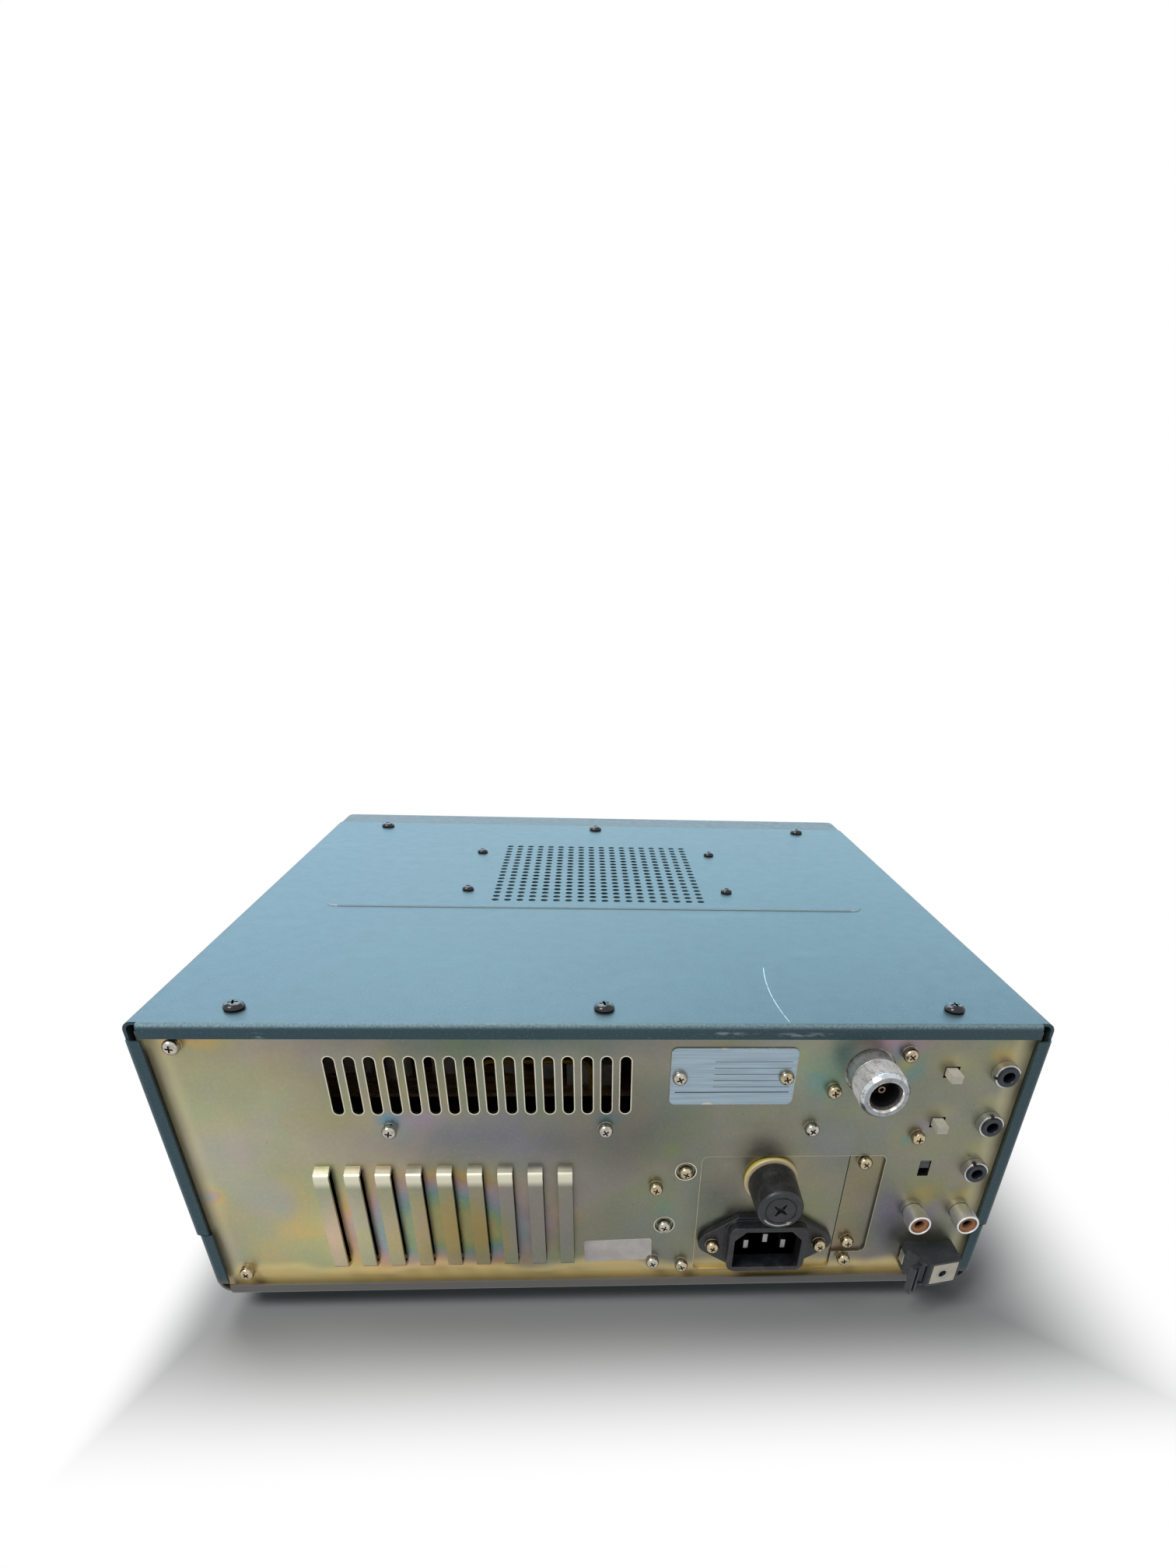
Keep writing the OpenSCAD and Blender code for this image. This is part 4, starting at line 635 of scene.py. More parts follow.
# Across, up and reach in mm of each place where the film is thicker, and by how much
FILM_PLACES = (
    (-50, 31, 64, 36, 0.84), (-139, 46, 11, 8, 0.46), (114, 42, 15, 9, 0.30), (131, 41, 11, 9, 0.30),
    (132, 97, 9, 8, 0.36), (60, 50, 22, 16, 0.30), (-128, 107, 22, 7, 0.30),
)
# Tints that lie over it as a haze, and near the phono sockets a darker violet that is partly painted shade:
# across, up, reach, colour and strength
HAZE = (
    (-44, 67, 62, 17, (0.275, 0.270, 0.330), 0.75), (-69, 71, 11, 10, (0.170, 0.300, 0.330), 0.75),
    (-92, 101, 44, 9, (0.390, 0.290, 0.220), 0.50), (-30, 104, 66, 8, (0.180, 0.290, 0.260), 0.60),
    (-88, 88, 30, 16, (0.350, 0.300, 0.230), 0.40), (88, 104, 32, 12, (0.460, 0.280, 0.360), 0.90),
    (72, 92, 12, 15, (0.150, 0.320, 0.300), 0.90), (98, 99, 12, 9, (0.370, 0.350, 0.180), 0.60),
    # The darker violet at 103 across, 30 up is partly painted shade beside a phono socket.
    (80, 84, 9, 8, (0.280, 0.260, 0.350), 0.60), (103, 30, 13, 24, (0.230, 0.220, 0.300), 0.80),
    (122, 31, 9, 10, (0.310, 0.270, 0.380), 0.85), (45, 34, 12, 16, (0.200, 0.310, 0.230), 0.55),
    (78, 40, 14, 20, (0.340, 0.360, 0.150), 0.55), (1, 70, 11, 9, (0.200, 0.300, 0.290), 0.50),
    (92, 20, 9, 9, (0.420, 0.270, 0.250), 0.75), (93, 44, 8, 16, (0.310, 0.310, 0.190), 0.50),
    (100, 96, 10, 14, (0.200, 0.320, 0.260), 0.55), (118, 92, 18, 16, (0.350, 0.350, 0.190), 0.55),
    (108, 66, 13, 11, (0.400, 0.370, 0.150), 0.55), (118, 46, 22, 8, (0.310, 0.330, 0.170), 0.45),
    (122, 66, 20, 20, (0.330, 0.320, 0.210), 0.50), (25, 78, 24, 22, (0.250, 0.310, 0.320), 0.50),
    (-100, 40, 8, 26, (0.310, 0.350, 0.170), 0.60), (-94, 30, 7, 26, (0.520, 0.330, 0.230), 0.70),
    (-60, 12, 50, 9, (0.560, 0.360, 0.180), 0.60),
)
# Where the plating is brighter or duller, partly its own lustre and partly painted reflection: across, up,
# reach and by how much
LUSTRE_AND_REFLECTION = (
    (-140, 60, 120, 90, 0.50), (-104, 16, 56, 40, 0.34), (-84, 34, 40, 34, 0.22), (64, 96, 22, 26, 0.14),
    (42, 38, 18, 26, -0.22), (101, 28, 14, 30, -0.12), (128, 84, 26, 40, 0.06), (-30, 104, 90, 10, -0.18),
    (8, 72, 44, 34, -0.22), (-44, 66, 60, 12, -0.10), (-90, 32, 16, 26, 0.12), (-50, 30, 18, 26, -0.08),
)
# Small halos round the fittings and along the top edge, in the same order of values
HALOS = (
    (98, 102, 14, 5, (0.44, 0.26, 0.36), 0.55), (96, 100, 6, 4, (0.13, 0.29, 0.44), 0.50),
    (98, 96.5, 4, 6, (0.50, 0.48, 0.10), 0.50), (101.5, 92, 5, 7, (0.13, 0.34, 0.36), 0.45),
    (77, 99, 7, 13, (0.14, 0.35, 0.34), 0.45), (113, 96, 9, 5, (0.52, 0.46, 0.20), 0.40),
    (113, 77, 9, 5, (0.52, 0.46, 0.20), 0.40), (109.5, 71, 5, 5, (0.32, 0.28, 0.46), 0.35),
    (104, 66, 4, 4, (0.13, 0.34, 0.34), 0.55), (-70, 75, 7, 5, (0.13, 0.30, 0.42), 0.80),
    (-60, 75, 11, 6, (0.36, 0.28, 0.42), 0.55), (1, 75, 7, 5, (0.16, 0.32, 0.36), 0.65),
    (131, 100, 9, 6, (0.52, 0.46, 0.18), 0.38), (131, 81, 9, 6, (0.52, 0.46, 0.18), 0.38),
    (131, 62, 9, 6, (0.50, 0.45, 0.17), 0.38), (113, 40, 8, 6, (0.50, 0.45, 0.18), 0.35),
    (131, 40, 8, 6, (0.50, 0.45, 0.18), 0.35), (105, 37, 6, 9, (0.27, 0.23, 0.36), 0.45),
    (23, 62, 6, 5, (0.30, 0.40, 0.16), 0.60), (22, 36, 6, 5, (0.20, 0.33, 0.26), 0.60),
)
# Faint drifts of colour all over: size in mm, an offset that sets them apart, colour and strength
SHEENS = (
    (30, 0.31, (0.400, 0.330, 0.290), 0.45), (22, 0.77, (0.285, 0.345, 0.195), 0.50),
    (38, 1.43, (0.310, 0.300, 0.350), 0.35),
)
print(len(FILM_PLACES) + len(HAZE) + len(HALOS), "patches of colour on the panel")

# %% [markdown]
# ## The plating's recipe
# The tables are laid one over another. The wide tints read coordinates that noise pushes about, so that
# their edges wander as real stains do, and the small halos get a lighter push. A painted picture could do
# this too, but a recipe stays sharp from any distance. Along the lower edge and close behind the flanges
# the sheet would mirror only darkness, so there it is less of a mirror and is painted a light gold: partly
# its own colour, partly painted reflection.

# %% The plating's recipe
# The height in mm up to which the lower edge is painted a light gold, and the sides close behind the
# flanges that are painted lighter, both in part a painted reflection
LOW_EDGE = (5.0, 15.0)
SIDE_EDGE = (130.0, 138.0)
BAR_TOP = 49.5
BAR_RISE = 4.0


def zinc_plating(name, lift=0.0, tint=(1, 1, 1), patchy=True):
    f = Finish(name, (0.30, 0.29, 0.22), roughness=0.36, metallic=1.0)
    plain = f.place
    f.place = f.warped(9, 34)

    def at(u, z, across, high):
        return f.spot((-u * MM, panel_y, base_z + z * MM), (across * MM, 1.0, high * MM))

    def summed(total, places):
        for u, z, across, high, more in places:
            total = f.calc("ADD", total, f.calc("MULTIPLY", at(u, z, across, high), more))
        return total

    def laid(tone, places):
        for u, z, across, high, colour, strength in places:
            tone = f.blend(f.calc("MULTIPLY", at(u, z, across, high), strength), tone, colour)
        return tone

    thickness = f.band(f.noise(46, detail=4, roughness=0.6), 0.2, 0.8, lift - 0.04, lift + 0.16)
    bright = f.band(f.noise(60, detail=3), 0.25, 0.75, 0.60, 0.70)
    if patchy:
        thickness = f.calc("ADD", thickness, f.band(f.along("X"), 0.02, 0.11, 0.0, 0.20))
        thickness = summed(thickness, FILM_PLACES)
        bright = summed(bright, LUSTRE_AND_REFLECTION)
    low_edge = f.band(f.along("Z"), base_z + LOW_EDGE[0] * MM, base_z + LOW_EDGE[1] * MM, 1.0, 0.0)
    wavy = f.calc("MULTIPLY", f.calc("SUBTRACT", f.noise(15, detail=3), 0.5), 0.20)
    raised = f.band(f.along("Y"), panel_y + 0.3 * MM, panel_y + 0.6 * BAR_RISE * MM)
    thin = f.calc("MULTIPLY", thickness, f.band(raised, 0.0, 1.0, 1.0, 0.42))
    tone = f.ramp(f.calc("ADD", thin, wavy, clamp=True), FILM)
    if patchy:
        tone = laid(tone, HAZE)
    for size, across, colour, share in SHEENS:
        drift = f.noise(size, detail=2, centre=(across, 0, across / 2))
        tone = f.blend(f.band(drift, 0.50, 0.68, 0.0, share), tone, colour)
    tone = f.blend(1.0, tone, tint, mode="MULTIPLY")
    f.place = plain
    if patchy:
        f.place = f.warped(1.5, 7)
        tone = laid(tone, HALOS)
        f.place = plain
    mottle = f.noise(1.3, detail=3)
    tone = f.blend(f.band(mottle, 0.40, 0.75, 0.0, 0.14), tone, (0.48, 0.47, 0.40))
    tone = f.blend(f.calc("MULTIPLY", f.flecks(0.5, 0.75), 0.5), tone, (0.08, 0.075, 0.05))
    # The brightness multiplies the colour; part of it is painted reflection, lighter low on the left and
    # darker in the middle.
    tone = f.blend(1.0, tone, bright, mode="MULTIPLY")
    tone = f.blend(f.calc("MULTIPLY", f.flecks(0.2, 0.70), 0.28), tone, (0.60, 0.60, 0.53))
    # Painted reflection, in part: a light gold along the lower edge and beside the flanges, with less metal
    # there.
    tone = f.blend(f.calc("MULTIPLY", low_edge, 0.9), tone, (1.00, 0.76, 0.30))
    side = f.band(f.calc("ABSOLUTE", f.along("X")), SIDE_EDGE[0] * MM, SIDE_EDGE[1] * MM)
    tone = f.blend(f.calc("MULTIPLY", side, 0.6), tone, (0.66, 0.58, 0.36))
    f.use("Metallic", f.band(f.calc("MAXIMUM", low_edge, side), 0.2, 1.0, 1.0, 0.15))
    # Painted highlight: the bars' upper shoulders are lighter, where their bends face up to the light.
    if patchy:
        shoulder_highlight = f.calc("MULTIPLY", raised, f.band(f.along("Z"), base_z + BAR_TOP * MM,
                                                     base_z + (BAR_TOP + 3.5) * MM))
        tone = f.blend(f.calc("MULTIPLY", shoulder_highlight, 0.8), tone, (0.74, 0.71, 0.56))
    f.use("Base Color", tone)
    f.use("Roughness", f.band(f.noise(9, detail=4), 0.3, 0.7, 0.30, 0.44))
    f.relief(f.noise(0.8, detail=2, stretch=(1, 1, 5)), 0.02, 0.35)
    return f.material


zinc = zinc_plating("yellow_zinc", lift=0.06)
print("mixed", zinc.name)

# %% [markdown]
# ## Rear panel
# Each louvre bar is bent out of the sheet, so its bends get a wide, round bevel and the panel's other edges
# a fine one. The plates behind the window and the hidden chassis take the same recipe with another tint.

# %% Rear panel
BAR_WIDTH = 5.0
BAR_BEND = 1.3
SHEET_EDGE = 0.18
rear = merged_copy("rear_panel")
bends = [e for e in rear.edges if min(v.co.y for v in e.verts) > panel_y + 0.9 * BAR_RISE * MM
         and abs(e.verts[0].co.x - e.verts[1].co.x) > 0.8 * BAR_WIDTH * MM]
print(len(bends), "bends on the louvre bars")
rounded(rear, bends, BAR_BEND * MM, segments=4)
new_piece("rear_panel_plated", soften(rear, SHEET_EDGE * MM), zinc,
          stands_for=["rear_panel"])
dress(zinc_plating("unit_zinc", lift=0.08), "power_plate")
dress(zinc_plating("strip_zinc", lift=0.18, tint=(1.04, 0.94, 0.92)), "option_strip")
dress(zinc_plating("chassis_zinc", lift=0.10, patchy=False),
      "left_frame", "right_frame", "chassis_deck", "front_chassis")

# %% [markdown]
# ## Metal and plastic recipes
# The small pieces share a few recipes. A plated metal has smudges in its roughness and a little tarnish,
# which on the rear screws is heavy and partly painted reflection.
# A moulded plastic has a fine grain and patches and flecks of grey dust.

# %% Metal and plastic recipes
def plated(name, colour, roughness=0.28, tarnish_and_reflection=0.25, smudge=5, other=None):
    f = Finish(name, colour, roughness, metallic=1.0)
    cloud = f.noise(smudge, detail=4)
    tone = f.blend(f.band(f.noise(34, detail=1), 0.42, 0.60), colour, other or shade(colour, 0.94))
    tone = f.blend(f.band(cloud, 0.40, 0.72, 0.0, tarnish_and_reflection), tone, shade(colour, 0.40))
    tone = f.blend(f.calc("MULTIPLY", f.flecks(0.22, 0.72), 0.5), tone, shade(colour, 0.3))
    f.use("Base Color", tone)
    f.use("Roughness", f.band(f.noise(smudge / 2, detail=3), 0.3, 0.7, roughness - 0.07, roughness + 0.10))
    f.relief(f.noise(0.4, detail=2), 0.008, 0.4)
    return f.material


def moulded(name, colour, roughness=0.45, dust=0.25, dust_colour=(0.34, 0.33, 0.31), grain=0.35):
    f = Finish(name, colour, roughness)
    tone = f.blend(f.band(f.noise(9, detail=3), 0.3, 0.7), shade(colour, 0.86), shade(colour, 1.12))
    film = f.band(f.noise(5, detail=5), 0.45, 0.85, 0.0, dust * 0.6)
    tone = f.blend(film, tone, dust_colour)
    tone = f.blend(f.calc("MULTIPLY", f.flecks(0.18, 0.66), dust), tone, shade(dust_colour, 1.6))
    f.use("Base Color", tone)
    f.use("Roughness", f.band(f.noise(4, detail=3), 0.3, 0.7, roughness - 0.03, roughness + 0.05))
    f.relief(f.noise(grain, detail=2), 0.02, 0.35)
    return f.material


# Painted reflection, in part: the screws' heavy dark clouds stand for a dark room mirrored in the heads.
screw_zinc = plated("screw_zinc", (0.52, 0.43, 0.28), 0.20, tarnish_and_reflection=0.7, smudge=1.6,
                    other=(0.50, 0.48, 0.43))
edge_zinc = plated("edge_zinc", (0.66, 0.62, 0.49), 0.30)
dull_zinc = plated("dull_zinc", (0.42, 0.40, 0.30), 0.34)
nickel = plated("dull_nickel", (0.60, 0.60, 0.585), 0.36, tarnish_and_reflection=0.35)
matt_nickel = plated("matt_nickel", (0.34, 0.345, 0.34), 0.36, tarnish_and_reflection=0.5, smudge=3)
tin = plated("tinned_sheet", (0.78, 0.775, 0.76), 0.44, smudge=12)
gold = plated("contact_gold", (0.26, 0.17, 0.11), 0.30)
black_zinc = plated("black_zinc", (0.050, 0.050, 0.053), 0.14, tarnish_and_reflection=0.2)
# Painted shade: a dark brown for the floors of the screw recesses.
shade_paint = moulded("painted_recess_shade", (0.075, 0.056, 0.038), 0.8, dust=0.06)
# Painted shade: a deep black that lines bores and holes so that they look dark.
deep_black = moulded("deep_black", (0.006, 0.006, 0.006), 0.6, dust=0.03)
black_plastic = moulded("black_moulding", (0.012, 0.013, 0.017), 0.38, dust=0.26)
blue_black = moulded("blue_black_moulding", (0.016, 0.021, 0.032), 0.30, dust=0.05)
terminal_black = moulded("terminal_moulding", (0.034, 0.037, 0.044), 0.50, dust=0.17)
beige = moulded("beige_moulding", (0.88, 0.82, 0.68), 0.46, dust=0.05, dust_colour=(0.50, 0.45, 0.35))
orange = moulded("orange_moulding", (0.42, 0.17, 0.06), 0.40, dust=0.10, dust_colour=(0.40, 0.25, 0.14))
grey_plastic = moulded("grey_moulding", (0.16, 0.16, 0.17), 0.45, dust=0.12)
print("small recipes ready")

# %% [markdown]
# ## Punched edges
# A punch leaves a thin, bright, rolled edge round each opening. It outlines the slots, and more faintly the
# mains window. Each rim is a flat outline that is inset by its width, opened in the middle and given a
# little height.

# %% Punched edges
RIM = 0.34
RIM_HIGH = 0.06
WINDOW_RIM = 0.2
SLOT_SIZE = (3.5, 21.0)
SLOT_PITCH = 6.15
SLOT_MID = (-39.3, 87.6)
SLOT_COUNT = 16
WINDOW = ((34.0, 6.6), (86.4, 6.6), (86.4, 14.9), (99.0, 14.9), (99.0, 59.2), (34.0, 59.2))
WINDOW_R = 2.5
ACCESS_HOLES = ((28.6, 53.0, 3.5), (22.1, 29.0, 3.5))


def punched_rim(points, corner, segments, width=RIM):
    """The raised edge round an opening with round corners; points run anticlockwise."""
    bm = bmesh.new()
    bm.faces.new([bm.verts.new((x, y, 0)) for x, y in points])
    bmesh.ops.bevel(bm, geom=bm.verts[:], offset=corner, affect="VERTICES", segments=segments, profile=0.5,
                    material=-1)
    bmesh.ops.remove_doubles(bm, verts=bm.verts, dist=0.01)
    bmesh.ops.inset_region(bm, faces=bm.faces[:], thickness=width, use_boundary=True, use_even_offset=True)
    inner = max(bm.faces, key=lambda part: part.calc_area())
    bmesh.ops.delete(bm, geom=[inner], context="FACES")
    bmesh.ops.recalc_face_normals(bm, faces=bm.faces)
    grown = bmesh.ops.extrude_face_region(bm, geom=bm.faces[:])["geom"]
    raised = [v for v in grown if isinstance(v, bmesh.types.BMVert)]
    bmesh.ops.translate(bm, verts=raised, vec=(0, 0, RIM_HIGH))
    bmesh.ops.recalc_face_normals(bm, faces=bm.faces)
    return bm


def grown_box(w, h):
    """The corners of an opening, grown by the width of its rim."""
    return [(x * (w / 2 + RIM), y * (h / 2 + RIM)) for x, y in ((-1, -1), (1, -1), (1, 1), (-1, 1))]


rims = bmesh.new()
slot_rim = punched_rim(grown_box(*SLOT_SIZE), SLOT_SIZE[0] / 2 + RIM - 0.02, 8)
for i in range(SLOT_COUNT):
    across = SLOT_MID[0] + (i - (SLOT_COUNT - 1) / 2) * SLOT_PITCH
    add(rims, slot_rim, rear_at(across, SLOT_MID[1], panel_y))
for u, z, r in ACCESS_HOLES:
    add(rims, punched_rim(grown_box(2 * r, 2 * r), r + RIM - 0.02, 10), rear_at(u, z, panel_y))
new_piece("punched_rims", rims, edge_zinc)
sides = ((-1, -1), (1, -1), (1, -1), (1, -1), (1, 1), (-1, 1))
window = [(u + dx * WINDOW_RIM, z + dz * WINDOW_RIM) for (u, z), (dx, dz) in zip(WINDOW, sides)]
window_rim = punched_rim(window, WINDOW_R, 6, width=WINDOW_RIM)
new_piece("window_rim", add(bmesh.new(), window_rim, rear_at(0, 0, panel_y)), dull_zinc)

# %% [markdown]
# ## Screw heads and washers
# Every rear screw is a zinc pan head with a cross recess, sitting on a split spring washer and a flat one.
# The head is a turned dome. The recess is cut by two bars, and the split washer is a square section wound
# a little short of one turn, so that its ends stand open as the real one does.

# %% Screw heads and washers
FLAT_WASHER = 0.5
SPRING_WASHER = 0.7
# The recess goes down to this share of the head's height
RECESS_FLOOR = 0.50


def pan_head(diameter, height, recess):
    """A domed head with a cross recess, standing on the bench with a short shank below."""
    r = diameter / 2
    head = turned([(0, height), (0.34 * r, 0.985 * height), (0.66 * r, 0.90 * height),
                   (0.88 * r, 0.70 * height), (0.99 * r, 0.38 * height), (r, 0.22 * height),
                   (0.96 * r, 0), (0.5 * r, 0), (0.5 * r, -1.2), (0, -1.2)], steps=36)
    for quarter in (0, math.pi / 2):
        bar = add(bmesh.new(), block(recess, recess * 0.23, 2 * height, soft=0, low=height * RECESS_FLOOR),
                  Matrix.Rotation(quarter, 4, "Z"))
        head = carve(head, bar)
    return head


def painted_shade_cross(height, recess):
    """A thin dark cross on the floor of a recess, painted shade."""
    shade_cross = bmesh.new()
    for quarter in (0, math.pi / 2):
        add(shade_cross, block(recess * 0.94, recess * 0.20, 0.4, soft=0, low=height * RECESS_FLOOR - 0.1),
            Matrix.Rotation(quarter, 4, "Z"))
    return shade_cross


def washer_stack(radius):
    """A flat washer and a split spring washer, from the bench up."""
    stack = turned([(1.2, 0), (radius - 0.05, 0), (radius, 0.06), (radius, FLAT_WASHER - 0.06),
                    (radius - 0.08, FLAT_WASHER), (1.2, FLAT_WASHER), (1.2, 0)], steps=36)
    low = FLAT_WASHER + 0.08
    section = [(1.5, low), (radius - 0.1, low), (radius - 0.1, low + SPRING_WASHER - 0.1),
               (1.5, low + SPRING_WASHER - 0.1)]
    return add(stack, wound(section, turns=0.95, rise=0.14, steps=36))


print("spring washer of", SPRING_WASHER, "mm")

# %% [markdown]
# ## Rear screws
# One head and one stack of washers serve for all the rear screws. The frame tells where each screw stands.
# Every screw stops at another angle, as it does when it is tightened by feel. The two on the rating plate
# have no washers.

# %% Rear screws
# Diameter and height of a head, width of its recess and height of the washers below it, in mm
REAR_HEAD = (5.0, 2.3)
REAR_RECESS = 2.3
STACK = 1.4
# From one screw to the next, in degrees
REAR_SPIN = 47
head = pan_head(*REAR_HEAD, recess=REAR_RECESS)
shade_cross = painted_shade_cross(REAR_HEAD[1], recess=REAR_RECESS)
stack = washer_stack(REAR_HEAD[0] / 2)
rating_screw_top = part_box("rating_plate")[1].y + REAR_HEAD[1] * MM
screws = bmesh.new()
recesses = bmesh.new()
for index, (low, high) in enumerate(solids_of("rear_screws")):
    u, z = rear_place(low, high)
    spin = Matrix.Rotation(math.radians(REAR_SPIN * index), 4, "Z")
    seat = rear_at(u, z, high.y - REAR_HEAD[1] * MM)
    add(screws, head, seat @ spin)
    add(recesses, shade_cross, seat @ spin)
    if abs(high.y - rating_screw_top) > 0.1 * MM:
        add(screws, stack, rear_at(u, z, high.y - (REAR_HEAD[1] + STACK) * MM) @ spin)
new_piece("rear_screws_plated", screws, screw_zinc, stands_for=["rear_screws"])
# The dark cross in each recess is painted shade.
new_piece("rear_screw_painted_shade", recesses, shade_paint)

# %% [markdown]
# ## Black cover screws
# The covers and the loudspeaker are held by black pan heads with the same recess. The frame tells where
# each one stands, and whether it looks up or down.

# %% Black cover screws
# Diameter and height of the heads in mm; the frame's heads wider than the last value are cover screws
COVER_HEAD = (6.6, 2.3)
SPEAKER_HEAD = (5.0, 1.9)
LARGER_THAN = 5.3 * MM
COVER_SPIN = 61
middle_z = (cad_low.z + cad_high.z) / 2
cover_head = pan_head(*COVER_HEAD, recess=3.0)
speaker_head = pan_head(*SPEAKER_HEAD, recess=2.6)
black_screws = bmesh.new()
for index, (low, high) in enumerate(solids_of("cover_screws")):
    middle = (low + high) / 2
    spin = Matrix.Rotation(math.radians(COVER_SPIN * index), 4, "Z")
    if middle.z < middle_z:
        seat = level_at(middle.x, middle.y, low.z + COVER_HEAD[1] * MM, up=-1)
        add(black_screws, cover_head, seat @ spin)
    elif high.x - low.x > LARGER_THAN:
        seat = level_at(middle.x, middle.y, high.z - COVER_HEAD[1] * MM)
        add(black_screws, cover_head, seat @ spin)
    else:
        seat = level_at(middle.x, middle.y, high.z - SPEAKER_HEAD[1] * MM)
        add(black_screws, speaker_head, seat @ spin)
new_piece("cover_screws_black", black_screws, black_zinc, stands_for=["cover_screws"])

# %% [markdown]
# ## Antenna socket
# A nickel-plated barrel stands out of the panel: first plain, then a fine thread, then a chamfered and
# polished mouth. The thread is a small ridge wound as a helix round the barrel. The square flange lies
# behind the panel, turned a little, as its screws show.

# %% Antenna socket
THREAD_PITCH = 1.06
THREAD_FROM = 6.2
THREAD_TURNS = 7.5
ANTENNA_R = 7.95
MOUTH = 15.0
BORE_FLOOR = 6.0
FLANGE_TURN = -14.3
low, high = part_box("antenna_socket")
antenna_u, antenna_z = rear_place(low, high)
antenna_seat = rear_at(antenna_u, antenna_z, panel_y)
barrel = turned([(0, -11.5), (5.9, -11.5), (5.9, -1.0), (7.5, -1.0), (7.6, 0.2), (7.6, 5.8), (7.35, 6.1),
                 (7.35, MOUTH), (4.95, MOUTH), (4.95, BORE_FLOOR), (0, BORE_FLOOR)], steps=72)
ridge = [(7.2, THREAD_FROM), (ANTENNA_R, THREAD_FROM + 0.38), (ANTENNA_R, THREAD_FROM + 0.50),
         (7.2, THREAD_FROM + 0.90)]
add(barrel, wound(ridge, turns=THREAD_TURNS, rise=THREAD_PITCH, steps=60))
flange = plate(25.4, 25.4, 2.5, corner=3, soft=0.2)
add(barrel, flange, Matrix.Translation((0, 0, -3.7)) @ Matrix.Rotation(math.radians(FLANGE_TURN), 4, "Z"))
print("antenna at", round(antenna_u, 1), "across and", round(antenna_z, 1), "up")

# %% [markdown]
# ## Antenna finish
# Wear leaves the grooves of a thread dark and its crests bright. So the colour goes by the distance from
# the socket's axis: a vector from that axis, flattened along it, gives the distance, and each band of
# colour starts at a radius in mm. On the mouth the bands are painted reflection and highlights: a darker
# face between a bright lip and a bright rim.

# %% Antenna finish
ANTENNA_REACH = 17.0
# So long a reach along the axis that places along it count as one
FAR = 1000.0


def turned_nickel(name, colour, roughness, bands):
    """Nickel whose colour changes with the distance from the axis, each band from a radius on."""
    f = Finish(name, colour, roughness, metallic=0.8)
    from_axis = f.node("VectorMath", operation="LENGTH")
    centre = (-antenna_u * MM, 0, base_z + antenna_z * MM)
    f.feed(from_axis.inputs[0], f.moved(centre=centre, reach=(MM, FAR, MM)))
    tone = f.blend(f.band(f.noise(4, detail=4), 0.4, 0.7, 0.0, 0.35), colour, shade(colour, 0.6))
    for radius, other in bands:
        tone = f.blend(f.band(from_axis.outputs["Value"], radius, radius + 0.12), tone, other)
    worn = f.noise(1.2, detail=4, stretch=(1, 4, 1))
    tone = f.blend(f.band(worn, 0.50, 0.66, 0.0, 0.60), tone, (0.22, 0.165, 0.125))
    f.use("Base Color", tone)
    f.use("Roughness", f.band(f.noise(2, detail=3), 0.3, 0.7, roughness - 0.06, roughness + 0.08))
    f.relief(f.noise(0.4, detail=2), 0.01, 0.4)
    return f.material


barrel_nickel = turned_nickel("barrel_nickel", (0.10, 0.085, 0.07), 0.46, (
    (7.42, (0.54, 0.55, 0.57)), (7.72, (0.56, 0.55, 0.53))))
# Painted reflection and highlights: a dark bluish face between a bright inner lip and a bright outer rim.
mouth_nickel = turned_nickel("mouth_nickel", (0.74, 0.72, 0.69), 0.16, (
    (5.45, (0.31, 0.34, 0.37)), (6.85, (0.62, 0.65, 0.68))))
new_piece("antenna_barrel", add(bmesh.new(), barrel, antenna_seat), barrel_nickel,
          stands_for=["antenna_socket"])
mouth = turned([(4.8, MOUTH), (7.75, MOUTH), (7.9, MOUTH + 0.15), (7.9, MOUTH + 0.5), (7.1, 16.75),
                (6.8, ANTENNA_REACH), (5.75, ANTENNA_REACH), (5.35, 16.85), (4.95, 16.3), (4.8, 15.8),
                (4.8, MOUTH)], steps=72)
new_piece("antenna_mouth", add(bmesh.new(), mouth, antenna_seat), mouth_nickel)
# The black lining in the bore is painted shade.
lining = turned([(0, BORE_FLOOR), (4.95, BORE_FLOOR), (4.95, MOUTH), (4.65, MOUTH), (4.5, MOUTH - 0.2),
                 (4.5, BORE_FLOOR + 0.4), (0, BORE_FLOOR + 0.4)], steps=48)
new_piece("antenna_lining", add(bmesh.new(), lining, antenna_seat), deep_black)

# %% [markdown]
# ## Antenna contact
# The contact is a gold tube that springs round the plug's pin. It is turned with its bore, and one bar cuts
# the slit that lets it spring.

# %% Antenna contact
contact = turned([(0, 0), (1.55, 0), (1.55, 4.6), (1.3, 5.7), (1.15, 6.0), (0.7, 6.0), (0.6, 5.8),
                  (0.6, 1.7), (0, 1.7)], steps=32)
slit = block(4, 0.16, 4, soft=0, low=4.2)
contact = carve(contact, slit)
contact_seat = antenna_seat @ Matrix.Translation((0, 0, BORE_FLOOR))
new_piece("antenna_contact_slotted", add(bmesh.new(), contact, contact_seat), gold,
          stands_for=["antenna_contact"])

# %% [markdown]
# ## Push-buttons
# Two pale buttons stand out of square holes and travel inwards. The moulded caps have soft edges and a
# slightly hollow end, which an inset and a small push make.

# %% Push-buttons
# Play of a cap in its hole, and the width of the rim and depth of the dish on its end, in mm
CAP_PLAY = 0.3
DISH_RIM = 0.45
DISH_DEPTH = 0.12


def push_cap(w, h, length):
    """A square cap with a shallow dish in its end."""
    cap = block(w, h, length, soft=0)
    end = max(cap.faces, key=lambda face: face.calc_center_median().z)
    bmesh.ops.inset_region(cap, faces=[end], thickness=DISH_RIM, depth=-DISH_DEPTH)
    return soften(cap, 0.22, sharper=40)


